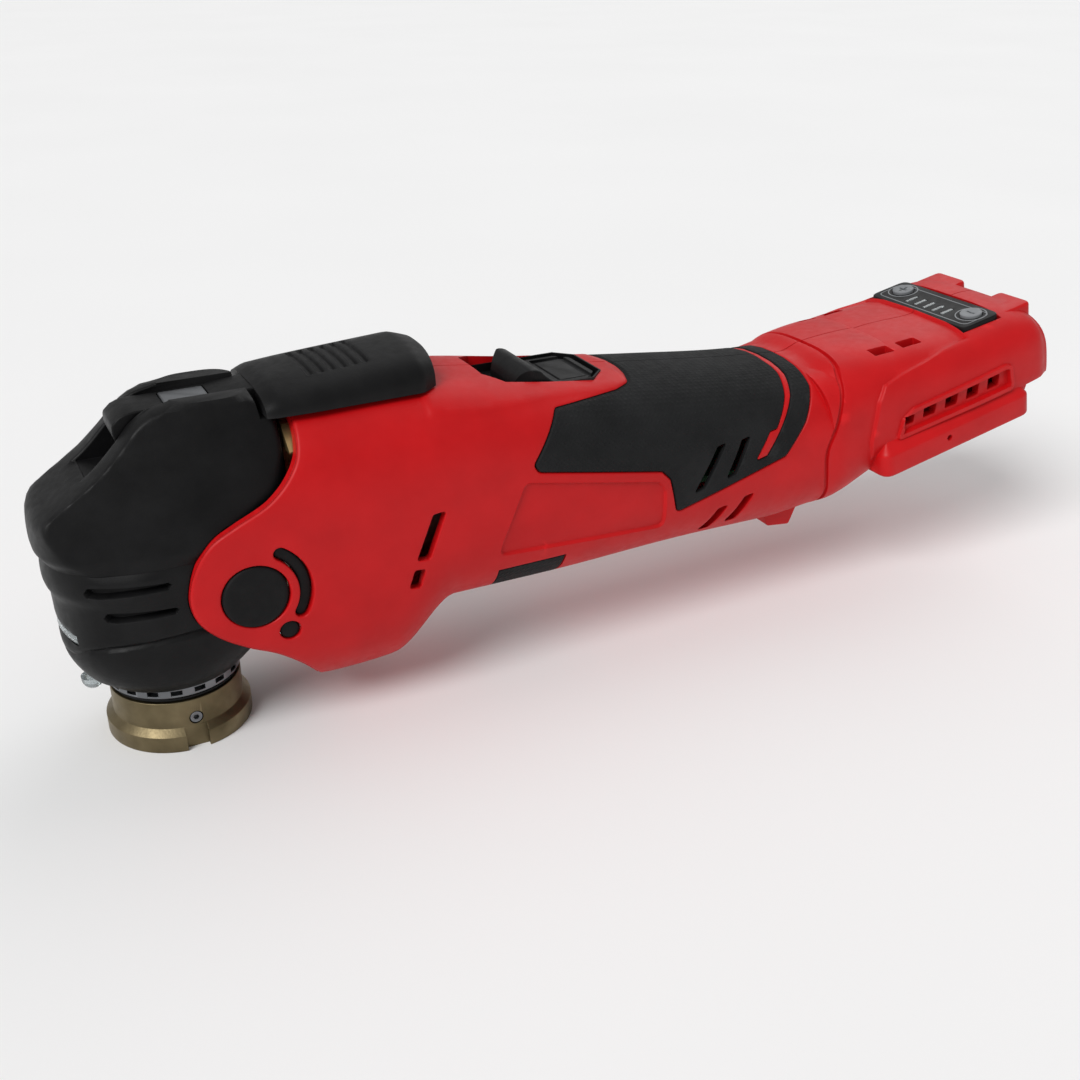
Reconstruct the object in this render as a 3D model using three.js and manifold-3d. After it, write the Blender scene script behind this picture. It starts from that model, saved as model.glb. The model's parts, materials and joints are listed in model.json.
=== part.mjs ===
// Cordless oscillating multi-tool: a brushed motor turns an eccentric, a fork turns that into a small swing of
// a vertical spindle, and a lever on the head pushes the clamp bolt down to free the accessory.
// Millimetres. The model is drawn with the spindle axis at x = 0 and y = 0, the accessory face at z = 0, the
// handle along +X and +Z up, and is moved at the end so that the base centre of its box is the origin.
import * as THREE from 'three';
import Module from 'manifold-3d';
import { mergeVertices } from 'three/addons/utils/BufferGeometryUtils.js';
import { ParametricGeometry } from 'three/addons/geometries/ParametricGeometry.js';

const wasm = await Module();
wasm.setup();

// ---- driving dimensions -------------------------------------------------------------------------------
const WALL = 2.6;            // moulded wall of the clamshell halves
const SEAM = 0.15;           // half the gap left at the parting plane
const GAP = 0.3;             // clearance between neighbouring pieces
const RIM = 0.2;             // running clearance of turning and sliding pieces
const SKIN = 1.5;            // thickness of the soft overmould and of the belly pad

const MOTOR_X = [62, 112];
const HANDLE_LENGTH = 86;    // from the motor's rear end to the neck in front of the battery foot
const DRAWN_LENGTH = 86;     // the handle length for which the stations and outlines below are written
// where a station written as x comes to lie on a handle of another length
const along = (x) => {
  const behind = Math.min(Math.max(x - MOTOR_X[1], 0), DRAWN_LENGTH);
  return x + behind * (HANDLE_LENGTH / DRAWN_LENGTH - 1);
};
const alongAll = (points) => points.map(([x, ...rest]) => [along(x), ...rest]);

const BODY_END = along(226); // rear end of the tapered body, inside the battery foot
// handle sections: x, top, bottom, half width, squareness of the section
const BODY = alongAll([
  [-6, 84, 16, 25, 3.0],
  [20, 89, 12, 27.2, 3.0],
  [40, 90, 9, 28.5, 3.0],
  [57, 90, 10, 29, 3.0],
  [76, 89, 25, 29, 3.0],
  [110, 84.5, 24.5, 28.5, 2.8],
  [150, 80, 25, 27.5, 2.6],
  [184, 76.6, 24.5, 27, 2.5],
  [198, 75.8, 26.5, 27.6, 2.6],
  [205, 78, 28.5, 29.4, 3.0],
  [226, 79.5, 38, 30.4, 3.4],
]);
// edge of the red casing round the head, from the top down, seen from the side: x, z
const FRONT_EDGE = [[36, 100], [34.2, 83], [31.2, 76], [24.6, 69.5], [15.7, 65], [9, 61], [4.6, 55], [2.4, 47.5],
  [3.6, 40.5], [8.6, 34.6], [15.7, 29.8], [23.5, 25.6], [31, 19], [36, 11], [38, 0]];

// head cover sections: z, front, rear, half width, squareness
const COVER = [
  [19, 20, 19, 19, 2.0],
  [22, 23.5, 22, 21, 2.1],
  [31, 27.2, 30, 23, 2.3],
  [46, 28, 34, 23.6, 2.4],
  [50, 28.7, 34, 23.6, 2.5],
  [55.4, 28.2, 34, 23.2, 2.5],
  [57, 29.7, 34, 24.1, 2.5],
  [62, 30.4, 34, 24.2, 2.6],
  [68, 28.5, 34, 23.4, 2.8],
  [72, 24, 34, 22.2, 3.0],
  [75, 19.4, 34, 21, 3.2],
  [79, 13.8, 34, 19.8, 3.4],
  [85, 7.6, 33, 18, 3.4],
  [90, 3, 31, 16, 3.2],
  [92.5, -1, 29, 14.6, 3.0],
  [93.8, -6, 27, 12.5, 2.8],
];
const COVER_BACK = 31.4;     // flat rear face of the cover, from the spindle axis
const COVER_POCKET = 6.2;    // depth that the isolator pucks reach below the casing's outside
const COVER_VENTS = [[51.5, -21.5, -1.5], [44.2, -17.5, -0.5]]; // cooling slots on each side: z, front, rear
const LENS_Z = [34.9, 37.3]; // clear strip of the work light, round the front of the cover
const LENS_HALF = 12;
const LENS_R = 27;

const PIVOT_Z = 86;          // lever pin above the spindle axis
const PIN_R = 2;
const LEVER_SLOT = 7;        // half width of the slot between the cheeks of the head cover
const LEVER_SLOT_FLOOR = 76.6;
const LEVER_FRONT = 28.3;    // front edge of the lever's hand plate
const LEVER_REAR = 75;
const LEVER_HALF = 18.5;     // half width of the hand plate
const LEVER_BASE = 88.4;     // lower edge of the hand plate
const LEVER_CROWN = [6.2, 10.6]; // height of its arch, front and rear
const LEVER_WALL = 2.2;
const LEVER_RANGE = 110;     // degrees from shut to open
const CAM_R = 4.8;           // cam radius under the pin when shut
const CLAMP_STROKE = 3;      // travel of the clamp bolt over the lever's whole range

const FLANGE_R = 19.5;
const FLANGE_RIM = 4.7;      // height of the lower, wider disc
const FLANGE_TOP_R = 17.5;
const FLANGE_TOP = 14.2;
const RECESS_R = 9.5;        // recess under the flange that takes the clamp bolt's head
const RECESS_DEPTH = 4.2;
const SPINDLE_R = 7;
const HUB_R = SPINDLE_R + 3.4; // hub of the drive fork
const SPINDLE_BORE = 4.2;
const SPINDLE_TOP = 69;
const BOLT_R = SPINDLE_BORE - GAP;
const COLLAR_R = 17.8;
const COLLAR_Z = [15.7, 19.0 - GAP];

const MOTOR_Z = 54;          // height of the motor axis
const MOTOR_R = 17.5;
const MAGNET_R = MOTOR_R - 4.3; // bore of the stator magnets
const CORE_R = MAGNET_R - 0.8;  // rotor core
const ECCENTRIC_X = 24;      // where the eccentric meets the fork, from the spindle axis
const ECCENTRIC_E = 0.7;     // offset of the eccentric
const BEARING_R = 6.5;       // eccentric bearing, outside
const FORK_GAP = BEARING_R + 2 * ECCENTRIC_E + 0.2;

const EAR = [18.6, 45];      // centre of the isolator puck, x and z
const PUCK_R = 8.6;
const ARC_R = [PUCK_R + 2.8, PUCK_R + 5.9]; // curved bumper beside the puck
const ARC_DEG = [-30, 57];
const PEG_R = 2.6;           // small round bumper, below the end of the curved one
const PEG_DEG = -56;
const PEG = [Math.cos, Math.sin].map((f, i) => EAR[i] + (PUCK_R + 5.5) * f((PEG_DEG * Math.PI) / 180));

const SWITCH_X = [91, 128.5];
const SWITCH_HALF = 13;      // half width of the switch recess
const SWITCH_DEPTH = 4.2;
const SLIDER_TRAVEL = 8;
const SLIDER_X = [100.5, 126.5];

const PAD_X = [87, 108];     // belly pad
const PAD_TOP = 36;

const FOOT_PITCH = 12;       // degrees, rear end up
const FOOT_AT = [along(217.8), 40.1]; // front end of the rails' lower edge, x and z
const FOOT_LENGTH = 71;
const FOOT_TOP = 32.9;       // above the rails' lower edge, square to the foot
const RAIL_LENGTH = 60;
const RAIL_HALF = 33.2;      // half width over the rails
const RAIL_HEIGHT = 12;
const SLOT_HALF = RAIL_HALF - 7.2; // half width of the battery slot
const SLOT_HEIGHT = 9.5;
const LIP = 3;               // lips of the rails that hold the battery
const PANEL_U = [42, 57.2];
const PANEL_HALF = RAIL_HALF - 10.6;
const BUTTON_R = 3.5;
const BUTTON_Y = 16.2;
const BUTTON_TRAVEL = 0.6;
const BARS = 5;
const BLADES = 4;
const BLOCK = { u: [10, 21], half: 19, v: [2.6, 15] }; // terminal block

const SCREWS = alongAll([[49, 18], [84, 79.6], [128, 32.5], [197, 48], [245, 66]]); // casing screws, x and z
const SCREW_R = 1.5;
const BOSS_R = 4.2;
const SCREW_HEAD = 2.9;
const HEAD_SEAT = 13;        // screw head seat from the parting plane, on the right side
const SCREW_TIP = -12;

// ---- looks --------------------------------------------------------------------------------------------
const finish = (color, roughness, metalness = 0) => ({ color, roughness, metalness });
const RED = finish(0xb81418, 0.42);
const BLACK = finish(0x141414, 0.6);
const SOFT = finish(0x1b1b1c, 0.85);
const STEEL = finish(0x9a9a98, 0.35, 1);
const BRONZE = finish(0x83714c, 0.4, 1);
const BRASS = finish(0xb08d4a, 0.35, 1);
const ALU = finish(0xa8a9ab, 0.5, 1);
const COPPER = finish(0xb4713d, 0.4, 1);
const GREEN = finish(0x2c5d39, 0.6);
const GREY = finish(0x9fa3a6, 0.5);
const CLEAR = finish(0xdfe8e2, 0.1);

// ---- solids -------------------------------------------------------------------------------------------
const tool = new THREE.Group();

// a closed geometry as a solid, with its faces turned outwards
function solid(geometry) {
  const bare = geometry.clone();
  bare.deleteAttribute('normal');
  bare.deleteAttribute('uv');
  const merged = mergeVertices(bare, 1e-4);
  const from = merged.index.array;
  const wrap = (second, third) => {
    const triangles = [];
    for (let i = 0; i < from.length; i += 3) {
      const [a, b, c] = [from[i], from[i + second], from[i + third]];
      if (a !== b && b !== c && c !== a) triangles.push(a, b, c);
    }
    return new wasm.Manifold(new wasm.Mesh({
      numProp: 3,
      vertProperties: new Float32Array(merged.attributes.position.array),
      triVerts: new Uint32Array(triangles),
    }));
  };
  const body = wrap(1, 2);
  return body.volume() > 0 ? body : wrap(2, 1);
}

function place(name, body, look) {
  const { vertProperties, triVerts } = body.getMesh();
  const geometry = new THREE.BufferGeometry();
  geometry.setAttribute('position', new THREE.BufferAttribute(new Float32Array(vertProperties), 3));
  geometry.setIndex(new THREE.BufferAttribute(new Uint32Array(triVerts), 1));
  const flat = geometry.toNonIndexed();
  flat.computeVertexNormals();
  const mesh = new THREE.Mesh(flat, new THREE.MeshStandardMaterial(look));
  mesh.name = name;
  tool.add(mesh);
}

const union = (first, ...rest) => rest.reduce((sum, next) => sum.add(next), first);
const minus = (first, ...rest) => rest.reduce((sum, next) => sum.subtract(next), first);

function box([x0, x1], [y0, y1], [z0, z1]) {
  const geometry = new THREE.BoxGeometry(x1 - x0, y1 - y0, z1 - z0);
  return solid(geometry.translate((x0 + x1) / 2, (y0 + y1) / 2, (z0 + z1) / 2));
}

// an outline of [x, z] points, extruded across the tool from y0 to y1
function prism(points, [y0, y1]) {
  const shape = new THREE.Shape(points.map(([x, z]) => new THREE.Vector2(x, z)));
  const geometry = new THREE.ExtrudeGeometry(shape, { depth: y1 - y0, bevelEnabled: false, steps: 1 });
  return solid(geometry.rotateX(Math.PI / 2).translate(0, y1, 0));
}

// a turned ring or disc about a vertical axis, from [radius, z] points
function turned(points, sides = 32, x = 0, y = 0) {
  const profile = points.map(([r, z]) => new THREE.Vector2(r, z));
  const start = profile[0];
  const end = profile[profile.length - 1];
  if (start.x > 0 || end.x > 0) profile.push(start.clone());
  return solid(new THREE.LatheGeometry(profile, sides).rotateX(Math.PI / 2).translate(x, y, 0));
}

const disc = (r, [z0, z1], sides = 32, x = 0, y = 0) => turned([[0, z0], [r, z0], [r, z1], [0, z1]], sides, x, y);
const ring = (r0, r1, [z0, z1], sides = 32) => turned([[r0, z0], [r1, z0], [r1, z1], [r0, z1]], sides);

const alongX = (body) => body.rotate([0, 90, 0]);
const rodX = (r, [x0, x1], z, sides = 24, y = 0) => alongX(disc(r, [x0, x1], sides)).translate([0, y, z]);
const tubeX = (r0, r1, [x0, x1], z, sides = 24) => alongX(ring(r0, r1, [x0, x1], sides)).translate([0, 0, z]);
const rodY = (r, [y0, y1], [x, z], sides = 24) => disc(r, [y0, y1], sides).rotate([-90, 0, 0]).translate([x, 0, z]);

// smooth curve through rows of numbers, read at the first one; never overshoots its rows
function smooth(rows) {
  const slope = (k, i) => {
    if (i === 0 || i === rows.length - 1) return 0;
    const [h0, h1] = [rows[i][0] - rows[i - 1][0], rows[i + 1][0] - rows[i][0]];
    const [d0, d1] = [(rows[i][k] - rows[i - 1][k]) / h0, (rows[i + 1][k] - rows[i][k]) / h1];
    return d0 * d1 <= 0 ? 0 : (3 * (h0 + h1)) / ((2 * h1 + h0) / d0 + (h1 + 2 * h0) / d1);
  };
  return (at) => {
    const t = Math.min(Math.max(at, rows[0][0]), rows[rows.length - 1][0]);
    let i = 0;
    while (i < rows.length - 2 && t > rows[i + 1][0]) i += 1;
    const h = rows[i + 1][0] - rows[i][0];
    const s = (t - rows[i][0]) / h;
    const row = [];
    for (let k = 1; k < rows[0].length; k += 1) {
      const [p, q, m, n] = [rows[i][k], rows[i + 1][k], slope(k, i) * h, slope(k, i + 1) * h];
      row.push(p + s * m + s * s * (3 * (q - p) - 2 * m - n) + s * s * s * (2 * (p - q) + m + n));
    }
    return row;
  };
}

const power = (value, n) => Math.sign(value) * Math.abs(value) ** (2 / n);

// closed skin through the sections at the given stations: point(at, cos, sin, out) puts a section's point in out
function loft(stations, sides, point) {
  const rings = stations.length;
  const surface = (u, v, out) => {
    const row = Math.round(v * (rings + 1));
    const angle = 2 * Math.PI * u;
    const onAxis = row === 0 || row === rings + 1;
    const at = stations[Math.min(Math.max(row - 1, 0), rings - 1)];
    const [c, s] = onAxis ? [0, 0] : [Math.cos(angle), Math.sin(angle)];
    point(at, c, s, out);
  };
  return solid(new ParametricGeometry(surface, sides, rings + 1));
}

const span = (from, to, count) => Array.from({ length: count + 1 }, (_, i) => from + ((to - from) * i) / count);

// an outline moved to its left by d
function offset(points, d, closed = false) {
  const n = points.length;
  return points.map(([x, z], i) => {
    const [ax, az] = points[closed ? (i + n - 1) % n : Math.max(i - 1, 0)];
    const [bx, bz] = points[closed ? (i + 1) % n : Math.min(i + 1, n - 1)];
    const [e, f] = [new THREE.Vector2(x - ax, z - az), new THREE.Vector2(bx - x, bz - z)];
    if (e.length() === 0) e.copy(f);
    if (f.length() === 0) f.copy(e);
    e.normalize();
    f.normalize();
    const out = new THREE.Vector2(-(e.y + f.y), e.x + f.x).normalize();
    const reach = d / Math.max(0.4, out.dot(new THREE.Vector2(-f.y, f.x)));
    return [x + out.x * reach, z + out.y * reach];
  });
}

// a closed outline grown by d, whichever way it runs
function grow(points, d) {
  const left = THREE.ShapeUtils.area(points.map(([x, z]) => new THREE.Vector2(x, z))) < 0;
  return offset(points, left ? d : -d, true);
}

// ---- the casing's outside -----------------------------------------------------------------------------
const bodyRow = smooth(BODY);

const OUTSIDE_SIDES = 28;   // faces round a visible skin, and round a hidden one
const INSIDE_SIDES = 16;
const BETWEEN = [49, 63, 69, 93, 130, 168].map(along); // extra sections where the outside curves

function bodyLoft(inset, from = BODY[0][0], to = BODY_END) {
  const outside = inset <= 0;
  const stations = [from, ...BODY.map((row) => row[0]), ...(outside ? BETWEEN : [66]), to];
  const inside = [...new Set(stations.filter((x) => x >= from && x <= to))].sort((a, b) => a - b);
  return loft(inside, outside ? OUTSIDE_SIDES : INSIDE_SIDES, (x, c, s, out) => {
    const [top, bottom, half, n] = bodyRow(x);
    const height = (top - bottom) / 2 - inset;
    out.set(x, (half - inset) * power(c, n), (top + bottom) / 2 + height * power(s, n));
  });
}

// a piece drawn in the foot's own u, y, v frame, turned and moved to its place
const onFoot = (body) => body.rotate([0, -FOOT_PITCH, 0]).translate([FOOT_AT[0], 0, FOOT_AT[1]]);

function footBlock(inset) {
  const rows = [
    [-14, FOOT_TOP + 4.9, RAIL_HALF - 4.8],
    [-2, FOOT_TOP + 4.5, RAIL_HALF - 3.6],
    [20, FOOT_TOP + 3.3, RAIL_HALF - 2.2],
    [42, FOOT_TOP + 0.2, RAIL_HALF - 1.2],
    [58, FOOT_TOP - 0.3, RAIL_HALF - 1.4],
    [66, FOOT_TOP - 1.6, RAIL_HALF - 2],
    [FOOT_LENGTH, FOOT_TOP - 5, RAIL_HALF - 4.6],
  ];
  const row = smooth(rows);
  const us = [-14, -8, -2, 8, 20, 31, 42, 58, 66, 69.2, FOOT_LENGTH].map((u) => Math.min(u, FOOT_LENGTH - inset));
  return loft([...new Set(us)], inset > 0 ? INSIDE_SIDES : OUTSIDE_SIDES, (u, c, s, out) => {
    const [top, half] = row(u);
    const middle = RAIL_HEIGHT + 1;
    const height = (s > 0 ? top - middle : middle - 1) - inset;
    const n = s > 0 ? 3.8 : 2.9;
    out.set(u, (half - inset) * power(c, n), middle + height * power(s, n));
  });
}

function railSkirt() {
  const corner = 4;
  const outline = new THREE.Shape();
  outline.moveTo(0, -RAIL_HALF + corner);
  outline.absarc(corner, -RAIL_HALF + corner, corner, Math.PI, 1.5 * Math.PI, false);
  outline.lineTo(RAIL_LENGTH, -RAIL_HALF);
  outline.lineTo(RAIL_LENGTH, RAIL_HALF);
  outline.absarc(corner, RAIL_HALF - corner, corner, 0.5 * Math.PI, Math.PI, false);
  return solid(new THREE.ExtrudeGeometry(outline, {
    depth: RAIL_HEIGHT, bevelEnabled: false, curveSegments: 4,
  }));
}

function latchHumps() {
  const hump = (y) => box([FOOT_LENGTH - 11, FOOT_LENGTH - 2], [y - 6, y + 6], [FOOT_TOP - 8, FOOT_TOP - 0.9]);
  return union(hump(-15.5), hump(15.5));
}

// low block under the rear of the grip
const heelPad = () => prism(alongAll([[187, 30], [190.5, 20.6], [199, 19.6], [203.5, 30]]), [-10, 10]);

const casingOuter = (inset) => union(bodyLoft(inset), onFoot(footBlock(inset)));

// ---- casing halves ------------------------------------------------------------------------------------
const frontEdge = new THREE.SplineCurve(FRONT_EDGE.map(([x, z]) => new THREE.Vector2(x, z)))
  .getPoints(30).map((p) => [p.x, p.y]);
// everything ahead of the casing's front edge, or the casing's side of it, grown by d
const aheadOfEdge = (d) => prism([...offset(frontEdge, d), [-60, -10], [-60, 110]].reverse(), [-60, 60]);
const behindEdge = (d) => prism([...offset(frontEdge, -d), [400, 0], [400, 110]], [-60, 60]);

const GRIP_OUTLINE = alongAll([[138.4, 92], [137, 81.4], [134.5, 79.8], [129, 79.2], [107, 79], [97.3, 66.5], [98.6, 64.4],
  [138.4, 56.6], [141.6, 53.4], [144.6, 42.2], [182.5, 52.8], [190, 62], [195, 71], [196.5, 92]]);
const GRIP_SLOTS = [
  [[160.9, 61.1], [157.4, 60.3], [149.6, 47], [153.6, 48]],
  [[169.8, 61.5], [166.2, 60.8], [160.8, 49.4], [164.6, 50.4]],
].map(alongAll);
const ACCENT = alongAll([[189.4, 92], [189.2, 74], [187, 69.6], [180.6, 61], [175.6, 54.2], [171.4, 53.2], [176.8, 61.2],
  [179.4, 61.6], [185, 69.6], [187.4, 74.4], [187.6, 92]]);
const RED_VENTS = [
  [[163.6, 40.4], [159.8, 39.4], [155.4, 31], [159.4, 31.6]],
  [[172.6, 42.8], [168.8, 41.8], [164.2, 32.6], [168.2, 33.2]],
].map(alongAll);
const SIDE_VENTS = [
  [[66.9, 58.6], [70.8, 59], [65.5, 45.8], [61.6, 46]],
  [[61, 43.4], [64.2, 43.2], [62.6, 37.8], [59.2, 38.2]],
];

const across = [-60, 60];     // right through the tool
const [skinFrom, skinTo] = [60, along(215)];
const skinOf = (depth) => minus(bodyLoft(-1, skinFrom, skinTo), bodyLoft(depth, skinFrom, skinTo));

const gripZone = (d) => prism(grow(GRIP_OUTLINE, d), across);
const accentZone = (d) => prism(grow(ACCENT, d), across);

function switchRecess(d) {
  const [x0, x1] = SWITCH_X;
  const floor = bodyRow((x0 + x1) / 2)[0] - SWITCH_DEPTH - d;
  const chamfer = 5;
  const outline = new THREE.Shape([
    [x0 + chamfer - d, -SWITCH_HALF - d], [x1 - chamfer + d, -SWITCH_HALF - d], [x1 + d, -SWITCH_HALF + chamfer - d],
    [x1 + d, SWITCH_HALF - chamfer + d], [x1 - chamfer + d, SWITCH_HALF + d], [x0 + chamfer - d, SWITCH_HALF + d],
    [x0 - d, SWITCH_HALF - chamfer + d], [x0 - d, -SWITCH_HALF + chamfer - d],
  ].map(([x, y]) => new THREE.Vector2(x, y)));
  const geometry = new THREE.ExtrudeGeometry(outline, { depth: 30, bevelEnabled: false });
  return solid(geometry.translate(0, 0, floor));
}

const switchFloor = bodyRow((SWITCH_X[0] + SWITCH_X[1]) / 2)[0] - SWITCH_DEPTH;

function batterySlot() {
  const slot = box([8, 90], [-SLOT_HALF, SLOT_HALF], [LIP - 0.01, SLOT_HEIGHT]);
  const mouth = box([8, 90], [-SLOT_HALF + LIP, SLOT_HALF - LIP], [-20, LIP]);
  const tail = box([RAIL_LENGTH, 90], [-60, 60], [-20, SLOT_HEIGHT]);
  return union(slot, mouth, tail);
}

const terminalBox = (d) => box([BLOCK.u[0] - d, BLOCK.u[1] + d], [-BLOCK.half - d, BLOCK.half + d],
  [BLOCK.v[0] - d, BLOCK.v[1] + d]);
const panelBox = (d) => box([PANEL_U[0] - d, PANEL_U[1] + d], [-PANEL_HALF - d, PANEL_HALF + d],
  [FOOT_TOP - 2.4 - d, FOOT_TOP + 6]);

function footVents() {
  const side = span(12.3, 46.6, 4).map((u) => box([u - 2.9, u + 2.9], [-60, 60], [14.2, 16.8]));
  const top = [13, 25].flatMap((u) => [-18, 18].map((y) => box([u - 4.5, u + 4.5], [y - 1.6, y + 1.6], [20, 50])));
  return union(side[0], ...side.slice(1), ...top);
}

function casing() {
  const wall = minus(
    union(casingOuter(0), heelPad(), onFoot(railSkirt()), onFoot(latchHumps())),
    bodyLoft(WALL, BODY[0][0] - 3, BODY_END),
    onFoot(minus(footBlock(WALL), box([-20, 90], across, [-5, SLOT_HEIGHT + WALL]))),
  );
  const gripBed = minus(gripZone(GAP).intersect(skinOf(SKIN + GAP)), accentZone(0));
  const padBed = skinOf(SKIN + GAP).intersect(box([PAD_X[0] - GAP, PAD_X[1] + GAP], across, [0, PAD_TOP + GAP]));
  const ears = [rodY(PUCK_R + GAP, across, EAR), arcBar(GAP, across), rodY(PEG_R + GAP, across, PEG, 12)];
  const vents = [...SIDE_VENTS, ...RED_VENTS, ...GRIP_SLOTS].map((points) => prism(points, across));
  const deck = switchRecess(WALL).intersect(bodyLoft(WALL - 0.2, SWITCH_X[0] - 6, SWITCH_X[1] + 6));
  const well = minus(union(wall, deck), switchRecess(0));
  const stemSlot = box([SLIDER_X[0] + 2 - SLIDER_TRAVEL - 1, SLIDER_X[0] + 9], [-3, 3], [60, 95]);
  return minus(
    union(well, ...SCREWS.map((at) => boss(at))),
    aheadOfEdge(0), gripBed, padBed, ...ears, ...vents, stemSlot,
    onFoot(batterySlot()), onFoot(terminalBox(GAP)), onFoot(panelBox(GAP)), onFoot(footVents()),
    rodY(1, [-60, -28], [along(242), 50], 8),
  );
}

// a screw boss reaches from wall to wall and is cut at the parting plane
const boss = (at) => rodY(BOSS_R, [-RAIL_HALF, RAIL_HALF], at, 14).intersect(casingOuter(GAP));
const screwHole = (at) => union(
  rodY(SCREW_R + GAP, [SCREW_TIP - 1, 60], at, 12),
  rodY(SCREW_HEAD + GAP, [HEAD_SEAT, 60], at, 14),
);

function arcBar(d, [y0, y1]) {
  const [a, b] = ARC_DEG.map((deg) => (deg * Math.PI) / 180);
  const middle = (ARC_R[0] + ARC_R[1]) / 2;
  const thick = (ARC_R[1] - ARC_R[0]) / 2 + d;
  const arc = new THREE.Shape();
  const tip = (angle) => [middle * Math.cos(angle), middle * Math.sin(angle)];
  arc.absarc(0, 0, middle + thick, a, b, false);
  arc.absarc(...tip(b), thick, b, b + Math.PI, false);
  arc.absarc(0, 0, middle - thick, b, a, true);
  arc.absarc(...tip(a), thick, a + Math.PI, a + 2 * Math.PI, false);
  const points = arc.getPoints(6).map((p) => [p.x + EAR[0], p.y + EAR[1]]);
  const clean = points.filter(([x, z], i) => {
    const [px, pz] = points[(i + points.length - 1) % points.length];
    return Math.hypot(x - px, z - pz) > 0.02;
  });
  return prism(clean, [y0, y1]);
}

function casingHalves() {
  const whole = minus(casing(), ...SCREWS.map((at) => screwHole(at)));
  place('left_casing', whole.intersect(box([-80, 400], [-60, -SEAM], [-30, 150])), RED);
  place('right_casing', whole.intersect(box([-80, 400], [SEAM, 60], [-30, 150])), RED);
}

// ---- overmould, pad, bumpers --------------------------------------------------------------------------
function overmould() {
  const skin = minus(bodyLoft(0, skinFrom, skinTo), bodyLoft(SKIN, skinFrom, skinTo));
  const slots = GRIP_SLOTS.map((points) => prism(points, across));
  const grip = minus(skin.intersect(gripZone(0)), accentZone(GAP), ...slots);
  const halves = { left_grip: [-60, -SEAM], right_grip: [SEAM, 60] };
  for (const [name, range] of Object.entries(halves)) {
    place(name, grip.intersect(box([skinFrom, skinTo], range, [0, 100])), SOFT);
  }
  place('belly_pad', skin.intersect(box(PAD_X, across, [0, PAD_TOP])), SOFT);
}

function bumpers() {
  const depth = [COVER_POCKET, 1.1];
  const sides = { left: -1, right: 1 };
  for (const [side, sign] of Object.entries(sides)) {
    const range = (inner, outer) => [sign * inner, sign * outer].sort((a, b) => a - b);
    const half = bodyRow(EAR[0])[2];
    place(`${side}_isolator`, rodY(PUCK_R, range(half - depth[0], half - 0.1), EAR), SOFT);
    place(`${side}_arc_bumper`, arcBar(0, range(half - WALL - 1.4, half - depth[1])), SOFT);
    place(`${side}_peg_bumper`, rodY(PEG_R, range(half - WALL - 1.4, half - depth[1] - 0.4), PEG, 12), SOFT);
  }
}

// ---- head ---------------------------------------------------------------------------------------------
// the gearbox is a vertical barrel round the spindle with a horizontal one towards the motor
function gearboxOuter(d) {
  return union(
    disc(14 + d, [19.2 - d, 36], 28),
    disc(16 + d, [34 - d, 74 + d], 28),
    rodX(16 + d, [0, COVER_BACK + d], MOTOR_Z, 28),
  );
}

function gearbox() {
  const inside = union(
    disc(12.3, [22, 72], 28),
    rodX(13.4, [0, 40], MOTOR_Z, 28),
    disc(SPINDLE_R + GAP + 0.6, [10, 30], 28),
    disc(7.2, [60, 90], 20),
  );
  place('gearbox_housing', minus(gearboxOuter(0), inside), ALU);
}

function headCover() {
  const rows = smooth(COVER);
  const zs = [...COVER.map((row) => row[0]), 26, 65, 82, 87.5].sort((a, b) => a - b);
  const outer = loft(zs, OUTSIDE_SIDES, (z, c, s, out) => {
    const [front, rear, half, n] = rows(z);
    out.set((rear - front) / 2 + ((rear + front) / 2) * power(c, n), half * power(s, n), z);
  });
  const slot = [[-15.4, LEVER_SLOT_FLOOR], [60, LEVER_SLOT_FLOOR], [60, 120], [-60, 120], [-60, 90], [-17.4, 80]];
  const leverPath = minus(box([0, 60], across, [LEVER_BASE - 0.6, 120]), rodY(27.3, across, [0, PIVOT_Z], 40));
  const back = box([COVER_BACK, 60], across, [0, 120]);
  const clear = bodyLoft(WALL + GAP + 0.2, -9, 60);
  const earRoom = minus(behindEdge(GAP), clear);
  const half = bodyRow(EAR[0])[2];
  const pockets = [-1, 1].flatMap((sign) => {
    const range = (inner) => [sign * inner, sign * 40].sort((a, b) => a - b);
    return [
      rodY(PUCK_R + GAP, range(half - COVER_POCKET - GAP), EAR),
      arcBar(GAP, range(half - WALL - 1.4 - GAP)),
      rodY(PEG_R + GAP, range(half - WALL - 1.4 - GAP), PEG, 12),
    ];
  });
  const grooves = COVER_VENTS.flatMap(([z, x0, x1]) => [[-30, -21.4], [21.4, 30]]
    .map((y) => box([x0, x1], y, [z - 0.8, z + 0.8])));
  const body = minus(outer, prism(slot.slice().reverse(), [-LEVER_SLOT, LEVER_SLOT]), leverPath, earRoom,
    ...pockets, back, gearboxOuter(GAP), disc(6.4, [60, 90], 20), rodY(PIN_R + RIM, [-12.4, 12.4], [0, PIVOT_Z], 20),
    ...grooves, lensBox(GAP));
  place('head_cover', body, BLACK);
}

const lensBox = (d) => box([-40, -20 + d], [-LENS_HALF - d, LENS_HALF + d], [LENS_Z[0] - d, LENS_Z[1] + d]);

function headLight() {
  place('work_light_lens', lensBox(0).intersect(disc(LENS_R, [0, 60], 48)), CLEAR);
  const dome = turned([[0, 15], [1.6, 15.3], [2.7, 16.3], [3, 17.6], [3, 18.7], [0, 18.7]], 16, -21.4, 0);
  place('work_light_led', dome, CLEAR);
}

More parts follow.
